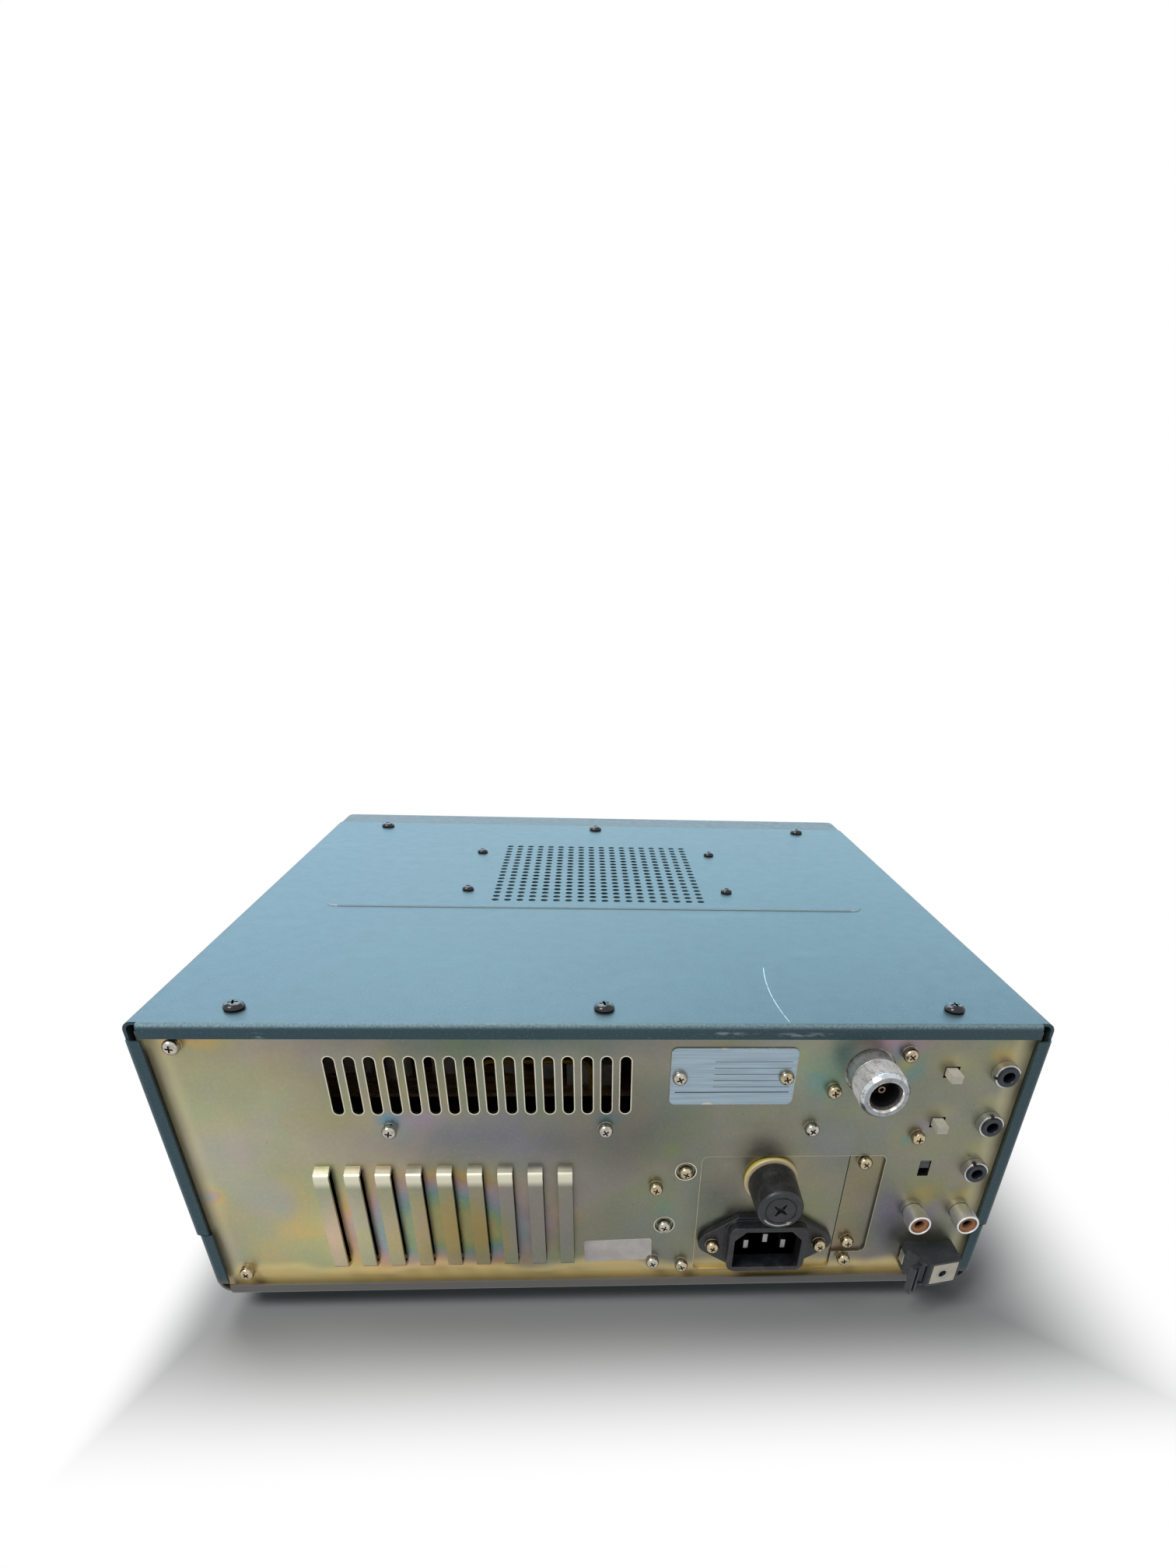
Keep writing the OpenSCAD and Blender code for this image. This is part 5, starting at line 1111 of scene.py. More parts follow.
for button in ("upper_push_button", "lower_push_button"):
    low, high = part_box(button)
    u, z = rear_place(low, high)
    size = (high - low) / MM
    cap = add(bmesh.new(), push_cap(size.x - CAP_PLAY, size.z - CAP_PLAY, size.y), rear_at(u, z, low.y))
    new_piece(button + "_cap", cap, beige, body=button, stands_for=[button])

# %% [markdown]
# ## Slide switch
# The slider is a small dark block that a fingernail moves up and down. Three grooves are cut across its end
# for grip.

# %% Slide switch
GROOVE_W = 0.28
GROOVE_DEPTH = 0.3
low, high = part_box("slide_knob")
u, z = rear_place(low, high)
size = (high - low) / MM
slider = block(size.x, size.z, size.y, soft=0.12)
for rib in (-1, 0, 1):
    groove = block(size.x * 2, GROOVE_W, 1, soft=0, low=size.y - GROOVE_DEPTH)
    bmesh.ops.translate(groove, verts=groove.verts, vec=(0, rib * size.z / 4, 0))
    slider = carve(slider, groove)
new_piece("slide_knob_ribbed", add(bmesh.new(), slider, rear_at(u, z, low.y)), grey_plastic,
          body="slide_knob", stands_for=["slide_knob"])
dress(black_plastic, "slide_switch", "push_switches")

# %% [markdown]
# ## Jacks
# A small jack shows a nickel nut with two key slots and, in front of it, a blue-black nose with the bore.
# Both are turned. The nut's slots are one bar cut right across it.

# %% Jacks
# How each nut's slots happen to stand, in degrees
NUT_TURNS = (112, 100, 8)
nut = turned([(2.75, 0), (4.15, 0), (4.3, 0.15), (4.3, 2.8), (4.1, 3.15), (3.85, 3.2), (2.75, 3.2),
              (2.75, 0)], steps=48)
nut = carve(nut, block(10, 1.2, 2, soft=0, low=1.6))
nose = turned([(0, -13.2), (4.6, -13.2), (4.6, -1.2), (2.65, -1.2), (2.65, 3.2), (3.6, 3.2), (3.6, 3.7),
               (3.45, 4.05), (3.1, 4.2), (2.3, 4.2), (2.05, 4.05), (1.8, 3.6), (1.8, -11.2), (0, -11.2)],
              steps=48)
nuts = bmesh.new()
noses = bmesh.new()
for (low, high), degrees in zip(solids_of("jack_rings"), NUT_TURNS):
    u, z = rear_place(low, high)
    seat = rear_at(u, z, panel_y)
    add(nuts, nut, seat @ Matrix.Rotation(math.radians(degrees), 4, "Z"))
    add(noses, nose, seat)
new_piece("jack_nuts", nuts, nickel, stands_for=["jack_rings"])
new_piece("jack_noses", noses, blue_black, stands_for=["jack_sockets"])

# %% [markdown]
# ## Phono sockets
# Each phono socket is a rolled shell with a rounded lip, round an orange insulator with a deep hole. The
# shell's profile carries a narrow neck at the panel, where the shell is swaged to its flange.

# %% Phono sockets
shell = turned([(3.25, -2.2), (5.5, -2.2), (5.5, -1.2), (3.55, -1.2), (3.55, 2.5), (3.7, 2.75),
                (4.05, 2.85), (4.15, 3.1), (4.15, 8.2), (4.02, 8.7), (3.75, 8.95), (3.5, 8.95),
                (3.3, 8.75), (3.25, 8.4), (3.25, -2.2)], steps=56)
insulator = turned([(0, -7.2), (3.2, -7.2), (3.2, 7.9), (3.05, 8.15), (2.1, 8.2), (1.8, 8.05), (1.65, 7.7),
                    (1.65, -4.2), (0, -4.2)], steps=48)
sleeve = turned([(0, 2.6), (0, 3.0), (1.35, 3.0), (1.35, 6.6), (1.64, 6.8), (1.64, 2.6), (0, 2.6)],
                steps=32)
shells = bmesh.new()
insulators = bmesh.new()
sleeves = bmesh.new()
for low, high in solids_of("phono_shells"):
    u, z = rear_place(low, high)
    add(shells, shell, rear_at(u, z, panel_y))
    add(insulators, insulator, rear_at(u, z, panel_y))
    add(sleeves, sleeve, rear_at(u, z, panel_y))
# The black sleeve in each insulator's hole is painted shade.
new_piece("phono_sleeves", sleeves, deep_black)
new_piece("phono_shells_rolled", shells, tin, stands_for=["phono_shells"])
new_piece("phono_insulators_bored", insulators, orange,
          stands_for=["phono_insulators"])

# %% [markdown]
# ## Wire terminal
# The spring terminal is a dark moulding with a pale insert and a ribbed lever. Its shape is all in the
# frame already, so each piece is a copy with softened edges.

# %% Wire terminal
for node, width, finish, slot, body in (
    ("terminal_body", 0.25, terminal_black, "dark_plastic", "case"),
    ("terminal_insert", 0.18, beige, "beige_plastic", "case"),
    ("terminal_lever", 0.16, terminal_black, "dark_plastic", "terminal_lever"),
    ("terminal_clip", 0.10, nickel, "nickel", "case"),
):
    new_piece(node + "_softened", softened(node, width), finish, body=body, stands_for=[node])

# %% [markdown]
# ## Wire hole
# The wire goes into a hole with a metal eyelet. The frame's record gives the hole's place and axis, and the
# insert's furthest point along that axis tells where its face lies. The eyelet is turned there, and a dark
# plug closes the view: painted shade deep in the hole.

# %% Wire hole
wire_hole = next(mount for mount in frame["record"]["mounts"] if mount["name"] == "wire_hole")
axis = Vector(wire_hole["axis"])
foot = Vector(wire_hole["pos_m"])
face = max(axis.dot(vert.co) for vert in frame["nodes"]["terminal_insert"].data.vertices)
mouth_at = Matrix.Translation(foot + (face - axis.dot(foot)) * axis)
mouth_at = mouth_at @ axis.to_track_quat("Z", "Y").to_matrix().to_4x4() @ Matrix.Scale(MM, 4)
eyelet = turned([(1.48, -3), (1.66, -3), (1.66, 0.02), (2.15, 0.02), (2.15, 0.16), (1.95, 0.26),
                 (1.65, 0.20), (1.48, 0), (1.48, -3)], steps=40)
new_piece("wire_eyelet", add(bmesh.new(), eyelet, mouth_at), matt_nickel)
# The dark plug is painted shade deep in the hole.
plug = turned([(0, -2.6), (1.47, -2.6), (1.47, -2.2), (1.2, -2.0), (0, -2.0), (0, -2.6)], steps=32)
new_piece("wire_hole_floor", add(bmesh.new(), plug, mouth_at), deep_black)

# %% [markdown]
# ## Fuse holder
# A cream ring with a clear yellow foot seats the holder on the plate, and a six-sided nut holds it from
# behind. The ring is turned, and the colour goes by the distance from the plate.

# %% Fuse holder
low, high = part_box("fuse_cap")
fuse_u, fuse_z = rear_place(low, high)
fuse_seat = rear_at(fuse_u, fuse_z, plate_y)
ring = turned([(4.8, -26), (6.3, -26), (6.3, 0), (9.4, 0), (9.6, 0.2), (9.6, 1.7), (9.3, 2.1), (8.9, 2.2),
               (4.8, 2.2), (4.8, -26)], steps=72)
hex_nut = prism([(9.5 * math.cos(math.radians(60 * i)), 9.5 * math.sin(math.radians(60 * i)))
                 for i in range(6)], -4.2, -1.2)
add(ring, soften(hex_nut, 0.4))


def ring_plastic(name):
    """Cream at the rim, and a clear yellow towards the plate."""
    f = Finish(name, (0.88, 0.70, 0.36), roughness=0.38)
    tone = f.blend(f.band(f.along("Y"), plate_y + 0.8 * MM, plate_y + 1.9 * MM), (0.74, 0.62, 0.06),
                   (0.92, 0.76, 0.44))
    tone = f.blend(f.band(f.noise(3, detail=4), 0.45, 0.8, 0.0, 0.3), tone, (0.60, 0.46, 0.22))
    f.use("Base Color", tone)
    f.relief(f.noise(0.5, detail=2), 0.02, 0.3)
    return f.material


new_piece("fuse_ring", add(bmesh.new(), ring, fuse_seat), ring_plastic("cream_moulding"),
          stands_for=["fuse_holder"])

# %% [markdown]
# ## Fuse cap
# A long black cap turns in the holder. Its end has a fine ring groove and a cross slot for a driver. Two
# bars cut each arm of the cross, one long and slim, one short and wide, so that it tapers.

# %% Fuse cap
# The cap's end stays a hair inside the frame's, which leaves room for the print on it
CAP_END = (high.y - plate_y) / MM - 0.05
CROSS_TURN = 8
CROSS_BARS = ((5.6, 0.7), (3.4, 1.2))
cap = turned([(0, -8), (4.7, -8), (4.7, 2.5), (8.3, 2.5), (8.5, 2.8), (7.95, CAP_END - 1.0),
              (7.8, CAP_END - 0.5), (7.3, CAP_END), (5.55, CAP_END), (5.4, CAP_END - 0.3),
              (5.1, CAP_END - 0.3), (4.95, CAP_END), (0, CAP_END)], steps=72)
for diagonal in (45, 135):
    for length, width in CROSS_BARS:
        bar = add(bmesh.new(), block(length, width, 3, soft=0, low=CAP_END - 1.4),
                  Matrix.Rotation(math.radians(diagonal + CROSS_TURN), 4, "Z"))
        cap = carve(cap, bar)
new_piece("fuse_cap_turned", add(bmesh.new(), cap, fuse_seat), black_plastic, body="fuse_cap",
          stands_for=["fuse_cap"])

# %% [markdown]
# ## Arrow on the cap
# A white arrow on the cap's end shows the way to turn. It is a thin strip spun through part of a turn, with
# a triangle at its end. Print has hardly any thickness, but a little keeps it a closed mesh.

# %% Arrow on the cap
ARROW_R = 6.45
ARROW_W = 0.5
ARROW_FROM = -142
ARROW_SWEEP = 78
ARROW_TIP = ((ARROW_R - 0.75, -64), (ARROW_R + 0.75, -64), (ARROW_R, -48))
PRINT_T = 0.04


def round_point(radius, degrees):
    return radius * math.cos(math.radians(degrees)), radius * math.sin(math.radians(degrees)), 0


arrow = bmesh.new()
strip = [arrow.verts.new(round_point(r, ARROW_FROM))
         for r in (ARROW_R - ARROW_W / 2, ARROW_R + ARROW_W / 2)]
bmesh.ops.spin(arrow, geom=[*strip, arrow.edges.new(strip)], cent=(0, 0, 0), axis=(0, 0, 1),
               angle=math.radians(ARROW_SWEEP), steps=20)
arrow.faces.new([arrow.verts.new(round_point(r, degrees)) for r, degrees in ARROW_TIP])
bmesh.ops.recalc_face_normals(arrow, faces=arrow.faces)
bmesh.ops.solidify(arrow, geom=arrow.faces[:], thickness=PRINT_T)
lifted = fuse_seat @ Matrix.Translation((0, 0, CAP_END + PRINT_T / 2))
white_print = moulded("white_print", (0.74, 0.74, 0.70), 0.5, dust=0.15)
new_piece("fuse_arrow", add(bmesh.new(), arrow, lifted), white_print, body="fuse_cap")

# %% [markdown]
# ## Mains inlet
# The inlet is a black moulding with two ears and a six-sided socket. The bevel on its shroud is wide enough
# to show as a bright line, and the three flat pins get softened tips.

# %% Mains inlet
new_piece("mains_inlet_softened", softened("mains_inlet", 0.5, segments=3), black_plastic,
          stands_for=["mains_inlet"])
new_piece("inlet_pins_softened", softened("inlet_pins", 0.3), matt_nickel,
          stands_for=["inlet_pins"])

# %% [markdown]
# ## Rating plate
# The plate is thin bluish aluminium with nothing written on it. Its clear film has torn along the edges,
# which shows as pale flakes. How near a point is to the edge, plus noise, decides where the film is gone.

# %% Rating plate
def worn_film(name, colour, middle, half):
    """Brushed aluminium whose film is torn along the edges of a plate."""
    f = Finish(name, colour, roughness=0.34, metallic=0.85)
    brushed = f.noise(0.5, detail=2, stretch=(30, 1, 1))
    tone = f.blend(f.band(brushed, 0.3, 0.7), shade(colour, 0.88), shade(colour, 1.10))
    x = f.calc("ABSOLUTE", f.calc("SUBTRACT", f.along("X"), middle.x))
    z = f.calc("ABSOLUTE", f.calc("SUBTRACT", f.along("Z"), middle.z))
    rim = f.calc("MAXIMUM", f.calc("DIVIDE", x, half.x), f.calc("DIVIDE", z, half.z))
    torn = f.calc("ADD", rim, f.calc("MULTIPLY", f.calc("SUBTRACT", f.noise(4.5, detail=5), 0.5), 0.62))
    flake = f.band(torn, 1.02, 1.07)
    tone = f.blend(flake, tone, (0.66, 0.66, 0.62))
    tone = f.blend(f.calc("MULTIPLY", f.band(torn, 0.96, 1.02), 0.25), tone, (0.30, 0.30, 0.28))
    f.use("Base Color", tone)
    f.use("Roughness", f.blend(flake, (0.32, 0.32, 0.32), (0.55, 0.55, 0.55)))
    f.relief(flake, 0.05, 0.8)
    return f.material


low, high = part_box("rating_plate")
middle = (low + high) / 2
half = (high - low) / 2
rating_u, rating_z = rear_place(low, high)
aluminium = worn_film("worn_aluminium", (0.31, 0.40, 0.47), middle, half)
face = plate(2 * half.x / MM, 2 * half.z / MM, 2 * half.y / MM, corner=2, soft=0.12)
new_piece("rating_plate_film", add(bmesh.new(), face, rear_at(rating_u, rating_z, low.y)), aluminium,
          stands_for=["rating_plate"])

# %% [markdown]
# ## Ruled lines and paper label
# The rating plate keeps its ruled lines: five fine ones and a bold one below. Beside the louvres sits a
# white paper label, which is blank as well and a little askew.

# %% Ruled lines and paper label
RULE_T = 0.03
# Across and up from the plate's middle, length and thickness in mm
RULES = [(6.2, 5.6 - 2.3 * i, 25, 0.16) for i in range(5)]
RULES.append((0.0, -5.6, 37.5, 0.34))
ink = moulded("dark_ink", (0.05, 0.055, 0.07), 0.6, dust=0.2)
rules = bmesh.new()
for across, up, length, thick in RULES:
    rule = block(length, thick, RULE_T, soft=0)
    add(rules, rule, rear_at(rating_u + across, rating_z + up, high.y))
new_piece("rating_rules", rules, ink)

LABEL = (5.4, 17.2)
LABEL_SIZE = (25.0, 10.2, 0.16)
LABEL_TILT = 1.9
paper = moulded("label_paper", (0.86, 0.80, 0.76), 0.38, dust=0.10, dust_colour=(0.55, 0.51, 0.46))
tilt = Matrix.Rotation(math.radians(LABEL_TILT), 4, "Z")
label = add(bmesh.new(), plate(*LABEL_SIZE, corner=1.0, soft=0.04), rear_at(*LABEL, panel_y) @ tilt)
new_piece("blank_label", label, paper)

# %% [markdown]
# ## Front frame and panel
# The front is the side that the photograph doesn't show. It has what such receivers have: a moulded frame,
# a dark panel, a meter and a display behind windows, one large knob, two small ones, a power button and a
# row of keys. Nothing is written on it, only plain marks round the knobs.

# %% Front frame and panel
frame_plastic = moulded("frame_moulding", (0.030, 0.038, 0.040), 0.46, dust=0.03, grain=0.5)
panel_plastic = moulded("panel_moulding", (0.040, 0.046, 0.047), 0.52, dust=0.03, grain=0.4)
new_piece("front_bezel_softened", softened("front_bezel", 0.7, segments=3), frame_plastic,
          stands_for=["front_bezel"])
new_piece("front_panel_softened", softened("front_panel", 0.25), panel_plastic,
          stands_for=["front_panel"])

# %% [markdown]
# ## Keys
# The power button and the four mode keys are caps like those on the rear, each on a narrow stem that goes
# through the panel.

# %% Keys
KEY_CAP = 6.0
KEY_STEM = (4, 3)
# The stem goes this much deeper than the frame's own, in mm
STEM_EXTRA = 0.1
key_plastic = moulded("key_moulding", (0.46, 0.45, 0.41), 0.45, dust=0.08)
for key in ("power_button", "mode_key_1", "mode_key_2", "mode_key_3", "mode_key_4"):
    low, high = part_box(key)
    x, z = front_place(key)
    size = (high - low) / MM
    cap = push_cap(size.x, size.z, KEY_CAP)
    stem_length = size.y - (KEY_CAP - STEM_EXTRA)
    stem = block(*KEY_STEM, stem_length, soft=0.1, low=-stem_length)
    keycap = add(bmesh.new(), add(cap, stem), front_at(x, z, low.y + KEY_CAP * MM))
    new_piece(key + "_cap", keycap, key_plastic, body=key, stands_for=[key])

# %% [markdown]
# ## Knobs
# A knob is a turned skirt with a ribbed grip on it. The ribs are an outline whose radius goes in and out,
# extruded and drawn in at the top. The large one has a finger dimple, the small ones a white pointer.

# %% Knobs
RIB_DEPTH = 0.45
knob_plastic = moulded("knob_moulding", (0.028, 0.030, 0.032), 0.40, dust=0.06, grain=0.3)


def grip(radius, top_radius, low, high, ribs):
    """A ribbed grip that tapers upwards."""
    outline = []
    for i in range(ribs * 4):
        r = radius - (RIB_DEPTH if i % 4 in (2, 3) else 0.0)
        angle = 2 * math.pi * i / (ribs * 4)
        outline.append((r * math.cos(angle), r * math.sin(angle)))
    bm = prism(outline, low, high)
    share = top_radius / radius
    upper = [v for v in bm.verts if v.co.z > (low + high) / 2]
    bmesh.ops.scale(bm, verts=upper, vec=(share, share, 1))
    return bm


def dressed_knob(node, ribs, dimple):
    """A knob of the frame with a ribbed grip, and with a finger dimple or else a white pointer."""
    low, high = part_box(node)
    x, z = front_place(node)
    radius = (high.x - low.x) / 2 / MM
    reach = (fascia_y - low.y) / MM
    shaft = (high.y - fascia_y) / MM
    top = radius - 2.5
    form = turned([(0, -shaft), (3, -shaft), (3, 1), (radius - 0.4, 1), (radius, 1.4), (radius, 3.4),
                   (radius - 0.6, 4), (0, 4)], steps=72)
    add(form, grip(radius - 1, top + 0.1, 3.9, reach - 0.7, ribs))
    face = turned([(0, reach - 0.8), (top, reach - 0.8), (top - 0.1, reach - 0.4), (top - 0.6, reach),
                   (top - 1.6, reach), (top - 1.9, reach - 0.25), (top - 2.4, reach - 0.25),
                   (top - 2.7, reach), (0, reach)], steps=72)
    if dimple:
        cup = turned([(0, -2.4), (3.0, -2.2), (5.0, -1.4), (6.5, 0), (6.6, 0.6), (0, 0.6)], steps=40)
        cup_at = Matrix.Translation((radius / 2, radius * 0.24, reach))
        face = carve(face, add(bmesh.new(), cup, cup_at))
    add(form, face)
    new_piece(node + "_ribbed", add(bmesh.new(), form, front_at(x, z, fascia_y)), knob_plastic, body=node,
              stands_for=[node])
    if not dimple:
        mark = block(1.0, radius * 0.55, 0.06, soft=0)
        mark_at = front_at(x, z + radius * 0.42, fascia_y - (reach - 0.02) * MM)
        new_piece(node + "_pointer", add(bmesh.new(), mark, mark_at), white_print, body=node)


dressed_knob("tuning_knob", ribs=44, dimple=True)
dressed_knob("gain_knob", ribs=22, dimple=False)
dressed_knob("squelch_knob", ribs=22, dimple=False)

# %% [markdown]
# ## Knob scales
# Plain marks round the two small knobs show how far they turn. They are thin bars set round in a circle,
# and every fifth is longer.

# %% Knob scales
TICKS = 11
TICK_SWEEP = 300
TICK_R = 12.0
ticks = bmesh.new()
for node in ("gain_knob", "squelch_knob"):
    x, z = front_place(node)
    for i in range(TICKS):
        angle = math.radians(90 + TICK_SWEEP / 2 - TICK_SWEEP * i / (TICKS - 1))
        tick = block(1.8 if i % 5 == 0 else 1.1, 0.4, 0.05, soft=0)
        place = Matrix.Rotation(angle, 4, "Z") @ Matrix.Translation((TICK_R, 0, 0))
        add(ticks, tick, front_at(x, z, fascia_y) @ place)
new_piece("knob_scale", ticks, white_print)

# %% [markdown]
# ## Meter and display
# The meter has a pale face with a printed arc behind its window, and a needle that swings. The display is
# dark when the set is off. Both windows are tinted plastic, so light passes, and the shader bends it a
# little.

# %% Meter and display
def window_plastic(name, colour):
    f = Finish(name, colour, roughness=0.06)
    f.set("Transmission Weight", 1.0)
    f.set("IOR", 1.46)
    f.use("Roughness", f.band(f.noise(20, detail=3), 0.3, 0.8, 0.03, 0.05))
    return f.material


dress(window_plastic("tinted_window", (0.72, 0.76, 0.75)), "front_windows")
dress(moulded("meter_moulding", (0.74, 0.70, 0.58), 0.5, dust=0.05), "meter_case")
dress(moulded("needle_paint", (0.40, 0.05, 0.02), 0.4, dust=0.04), "meter_needle")
dress(moulded("display_face", (0.010, 0.020, 0.016), 0.5, dust=0.0), "display_module")

# %% [markdown]
# ## Meter scale
# The arc of marks has its middle at the needle's hub, so the needle's tip sweeps along it. The hub lies in
# the middle of the case, a little above the needle's lowest point.

# %% Meter scale
METER_MARKS = 21
# Where the first mark stands and how far apart they are, in degrees
METER_FROM = 130
METER_STEP = 4
METER_R = 13.4
HUB_R = 2.2
needle_low, needle_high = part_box("meter_needle")
hub_x, _ = front_place("meter_case")
hub_z = (needle_low.z + HUB_R * MM - base_z) / MM
dial = front_at(hub_x, hub_z, needle_high.y + 0.3 * MM)
scale_marks = bmesh.new()
for i in range(METER_MARKS):
    tick = block(2.2 if i % 5 == 0 else 1.2, 0.28, 0.08, soft=0)
    angle = math.radians(METER_FROM - METER_STEP * i)
    place = Matrix.Rotation(angle, 4, "Z") @ Matrix.Translation((METER_R, 0, 0))
    add(scale_marks, tick, dial @ place)
new_piece("meter_scale", scale_marks, ink)

# %% [markdown]
# ## Feet
# The feet are rubber with a recess for their screw. One profile is spun and set in four places.

# %% Feet
rubber = moulded("foot_rubber", (0.018, 0.018, 0.019), 0.72, dust=0.15, grain=0.6)
foot = turned([(0, 4), (3.5, 4), (3.5, 0.3), (3.8, 0), (7.4, 0), (8.0, 0.5), (9.9, 9.6), (10, 10), (0, 10)],
              steps=56)
feet = bmesh.new()
for low, high in solids_of("rubber_feet"):
    middle = (low + high) / 2
    add(feet, foot, level_at(middle.x, middle.y, low.z))
new_piece("feet_rubber", feet, rubber, stands_for=["rubber_feet"])

# %% [markdown]
# ## What shows inside
# Behind the slots and the grille one sees boards, cans, a yellow lead and the loudspeaker. Their shapes in
# the frame are good enough there, so these nodes only get plain recipes.

# %% What shows inside
def circuit_board(name, colour):
    f = Finish(name, colour, roughness=0.45)
    tracks = f.noise(3.5, detail=0, stretch=(6, 1, 1))
    tone = f.blend(f.band(tracks, 0.50, 0.54), colour, shade(colour, 1.7))
    tone = f.blend(f.calc("MULTIPLY", f.flecks(1.0, 0.6), 0.8), tone, (0.45, 0.42, 0.36))
    f.use("Base Color", tone)
    return f.material


def laminated(name, colour, sheet=0.5):
    f = Finish(name, colour, roughness=0.5, metallic=0.7)
    stripes = f.noise(sheet, detail=1, stretch=(60, 1, 60))
    f.use("Base Color", f.blend(f.band(stripes, 0.35, 0.65), shade(colour, 0.6), shade(colour, 1.2)))
    f.relief(stripes, 0.05, 0.5)
    return f.material


dress(circuit_board("brown_board", (0.46, 0.26, 0.12)), "upper_board")
dress(circuit_board("green_board", (0.05, 0.10, 0.045)), "lower_board", "front_board")
dress(moulded("connector_white", (0.88, 0.84, 0.76), 0.5, dust=0.10), "board_parts")
dress(moulded("yellow_wire", (0.86, 0.52, 0.03), 0.45, dust=0.05), "signal_lead")
dress(laminated("core_steel", (0.22, 0.20, 0.18)), "transformer_core")
dress(moulded("coil_wrap", (0.28, 0.09, 0.05), 0.5, dust=0.1), "transformer_winding")
dress(laminated("sink_metal", (0.16, 0.16, 0.17), sheet=2.0), "heat_sink")
dress(tin, "shield_box", "speaker_basket")
dress(moulded("cone_paper", (0.014, 0.014, 0.015), 0.85, dust=0.25, grain=1.2), "speaker_cone")
dress(nickel, "control_bodies")
dress(moulded("fuse_glass", (0.55, 0.58, 0.58), 0.15, dust=0.02), "fuse_link")
new_piece("phones_jack_softened", softened("phones_jack", 0.2), black_plastic,
          stands_for=["phones_jack"])

# %% [markdown]
# ## Floor
# The floor carries a soft shadow and fades to white with distance. Near the receiver it is a mid grey that
# deepens the cast shadow, a painted shadow, and it fades faster on the lit side than on the side of the
# shadow. Seen from below it is clear, so that the underside can be looked at.

# %% Floor
FLOOR_HALF = 6.0
FADE_FROM = 0.004
FADE_TO = 0.075
# How much faster the floor fades on the lit side, and on the side of the shadow
LIT_SIDE = 2.6
SHADOW_SIDE = 0.9
GLOSS_FLOOR = 0.8

floor_bm = bmesh.new()
bmesh.ops.create_grid(floor_bm, x_segments=1, y_segments=1, size=FLOOR_HALF)
floor_mesh = bpy.data.meshes.new("floor")
floor_bm.to_mesh(floor_mesh)
floor_bm.free()
floor = bpy.data.objects.new("floor", floor_mesh)
floor.location.z = cad_low.z
bpy.context.scene.collection.objects.link(floor)

# Painted shadow, in part: near the receiver the floor is a mid grey, which darkens the shadow round it.
pale = Finish("pale_floor", (0.40, 0.40, 0.40), roughness=0.9)
pale.set("Specular IOR Level", 0.0)
beside = pale.calc("SUBTRACT", pale.calc("ABSOLUTE", pale.along("X")), cad_high.x)
beside = pale.calc("MULTIPLY", beside, pale.band(pale.along("X"), -0.1, 0.1, SHADOW_SIDE, LIT_SIDE))
before = pale.calc("SUBTRACT", pale.calc("ABSOLUTE", pale.along("Y")), rear_y)
fade = pale.band(pale.calc("MAXIMUM", beside, before), FADE_FROM, FADE_TO)
glow = pale.node("Emission")
rays = pale.node("LightPath")
mirrored = pale.calc("MAXIMUM", rays.outputs["Is Glossy Ray"], rays.outputs["Is Transmission Ray"])
seen = pale.calc("MULTIPLY", fade, pale.calc("MAXIMUM", rays.outputs["Is Camera Ray"], mirrored))
mix = pale.node("MixShader")
pale.feed(mix.inputs[0], pale.calc("MAXIMUM", seen, pale.calc("MULTIPLY", mirrored, GLOSS_FLOOR)))
pale.feed(mix.inputs[1], pale.shader.outputs[0])
pale.feed(mix.inputs[2], glow.outputs[0])
from_below = pale.node("MixShader")
pale.feed(from_below.inputs[0], pale.node("NewGeometry").outputs["Backfacing"])
pale.feed(from_below.inputs[1], mix.outputs[0])
pale.feed(from_below.inputs[2], pale.node("BsdfTransparent").outputs[0])
pale.feed(pale.tree.nodes["Material Output"].inputs["Surface"], from_below.outputs[0])
floor_mesh.materials.append(pale.material)
print("floor laid at", round(cad_low.z / MM, 1), "mm")

# %% [markdown]
# ## World
# The world is white where the camera, a reflection or clear plastic looks at it. To everything else it is
# only a plain, soft light, because a full white all round would wash the shadows out.

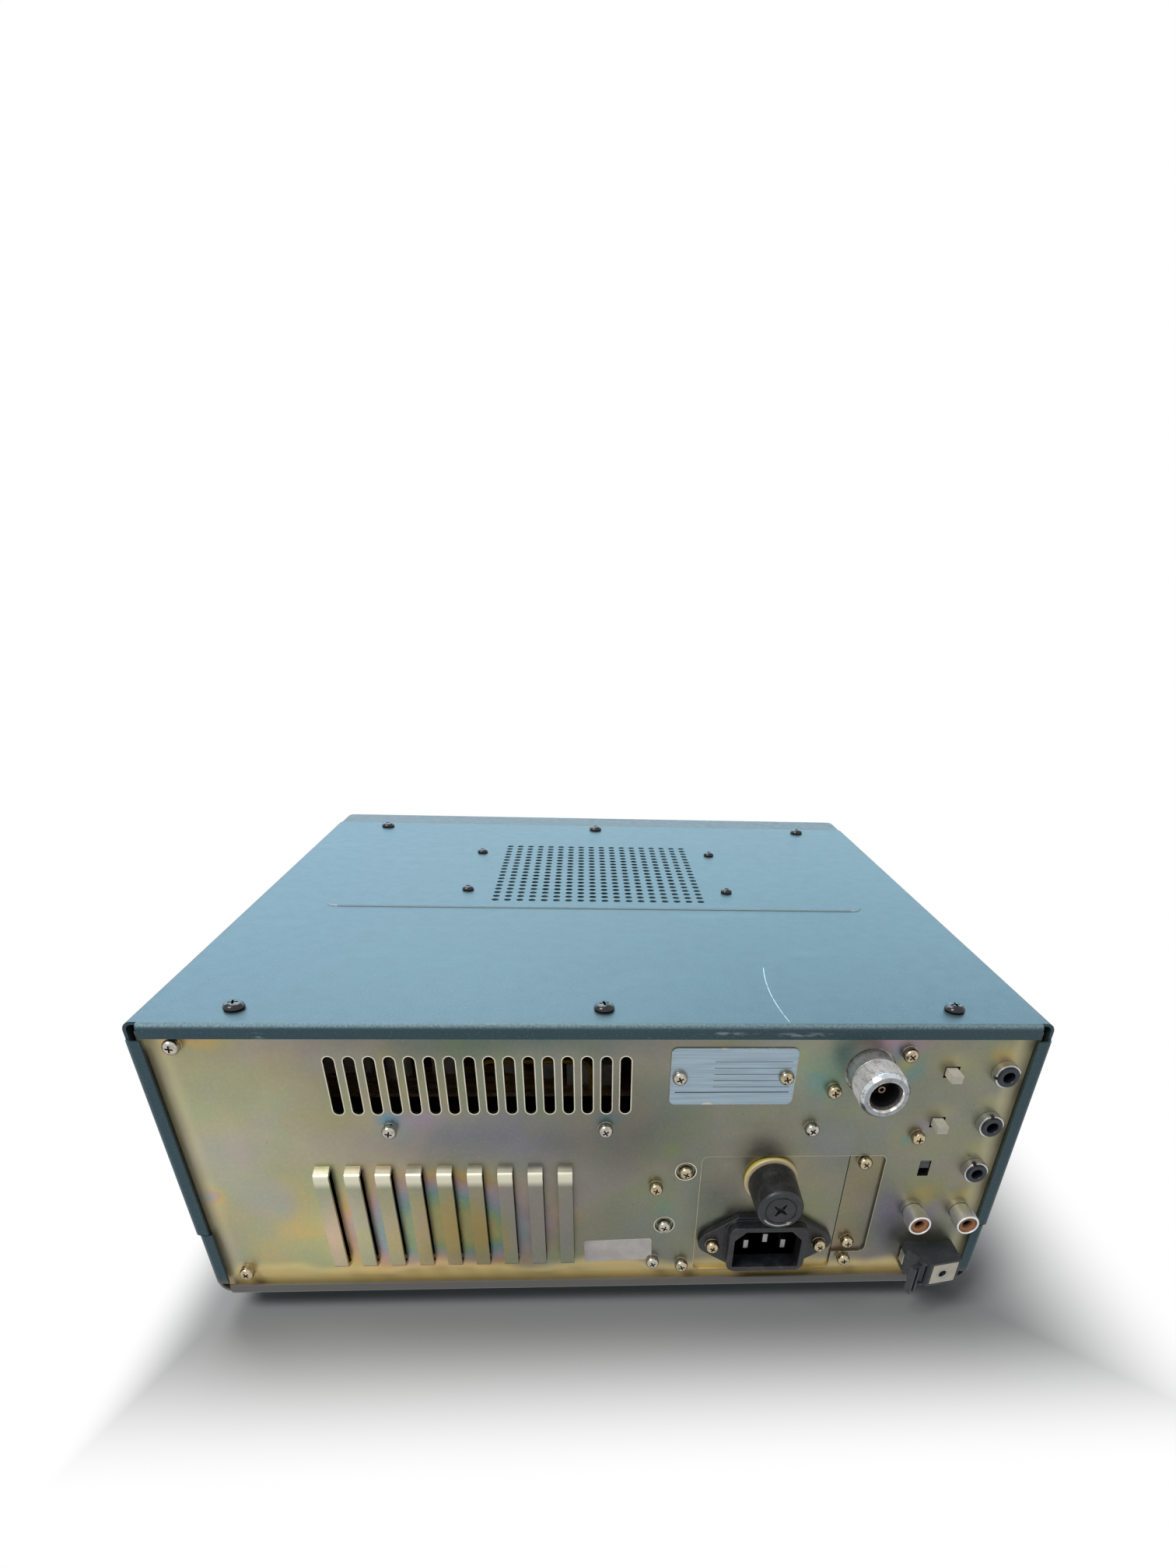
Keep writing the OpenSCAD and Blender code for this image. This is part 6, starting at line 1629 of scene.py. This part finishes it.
# %% World
world = bpy.data.worlds.new("studio")
bpy.context.scene.world = world
world.use_nodes = True
sky = world.node_tree
rays = sky.nodes.new("ShaderNodeLightPath")
soft_light = sky.nodes["Background"]
soft_light.inputs["Color"].default_value = (0.93, 0.97, 1.0, 1.0)
soft_light.inputs["Strength"].default_value = 0.22
white = sky.nodes.new("ShaderNodeBackground")
white.inputs["Color"].default_value = (1, 1, 1, 1)
previous = rays.outputs["Is Camera Ray"]
for ray in ("Is Glossy Ray", "Is Transmission Ray"):
    either = sky.nodes.new("ShaderNodeMath")
    either.operation = "MAXIMUM"
    sky.links.new(previous, either.inputs[0])
    sky.links.new(rays.outputs[ray], either.inputs[1])
    previous = either.outputs[0]
choice = sky.nodes.new("ShaderNodeMixShader")
sky.links.new(previous, choice.inputs[0])
sky.links.new(soft_light.outputs[0], choice.inputs[1])
sky.links.new(white.outputs[0], choice.inputs[2])
sky.links.new(choice.outputs[0], sky.nodes["World Output"].inputs["Surface"])
print("soft light of strength", round(soft_light.inputs["Strength"].default_value, 2))

# %% [markdown]
# ## Lamps
# One wide lamp hangs above the receiver's front, so the shadow falls to the rear, towards the camera. A
# second one at the upper left gives the small pieces a lit side. The wide bluish one stands for a window,
# and only the gloss shows it.

# %% Lamps
def soft_lamp(name, place, target, size, power, colour=(1, 1, 1)):
    lamp = bpy.data.lights.new(name, "AREA")
    lamp.shape = "RECTANGLE"
    lamp.size, lamp.size_y = size
    lamp.energy = power
    lamp.color = colour
    holder = bpy.data.objects.new(name, lamp)
    holder.location = place
    holder.rotation_euler = (Vector(target) - Vector(place)).to_track_quat("-Z", "Y").to_euler()
    bpy.context.scene.collection.objects.link(holder)
    return holder


soft_lamp("overhead", (0.25, -0.50, 1.10), (0, 0.05, 0.05), size=(0.8, 0.8), power=10.0)
soft_lamp("upper_left", (0.75, 0.70, 1.30), (0, 0.1, 0.08), size=(0.6, 0.6), power=10.0)
window_light = soft_lamp("window", (0.15, -1.3, 0.88), (0, 0, 0.12), size=(3.4, 0.9), power=28.0,
                         colour=(0.34, 0.74, 1.0))
window_light.visible_diffuse = False
window_light.visible_camera = False
print("studio lit")
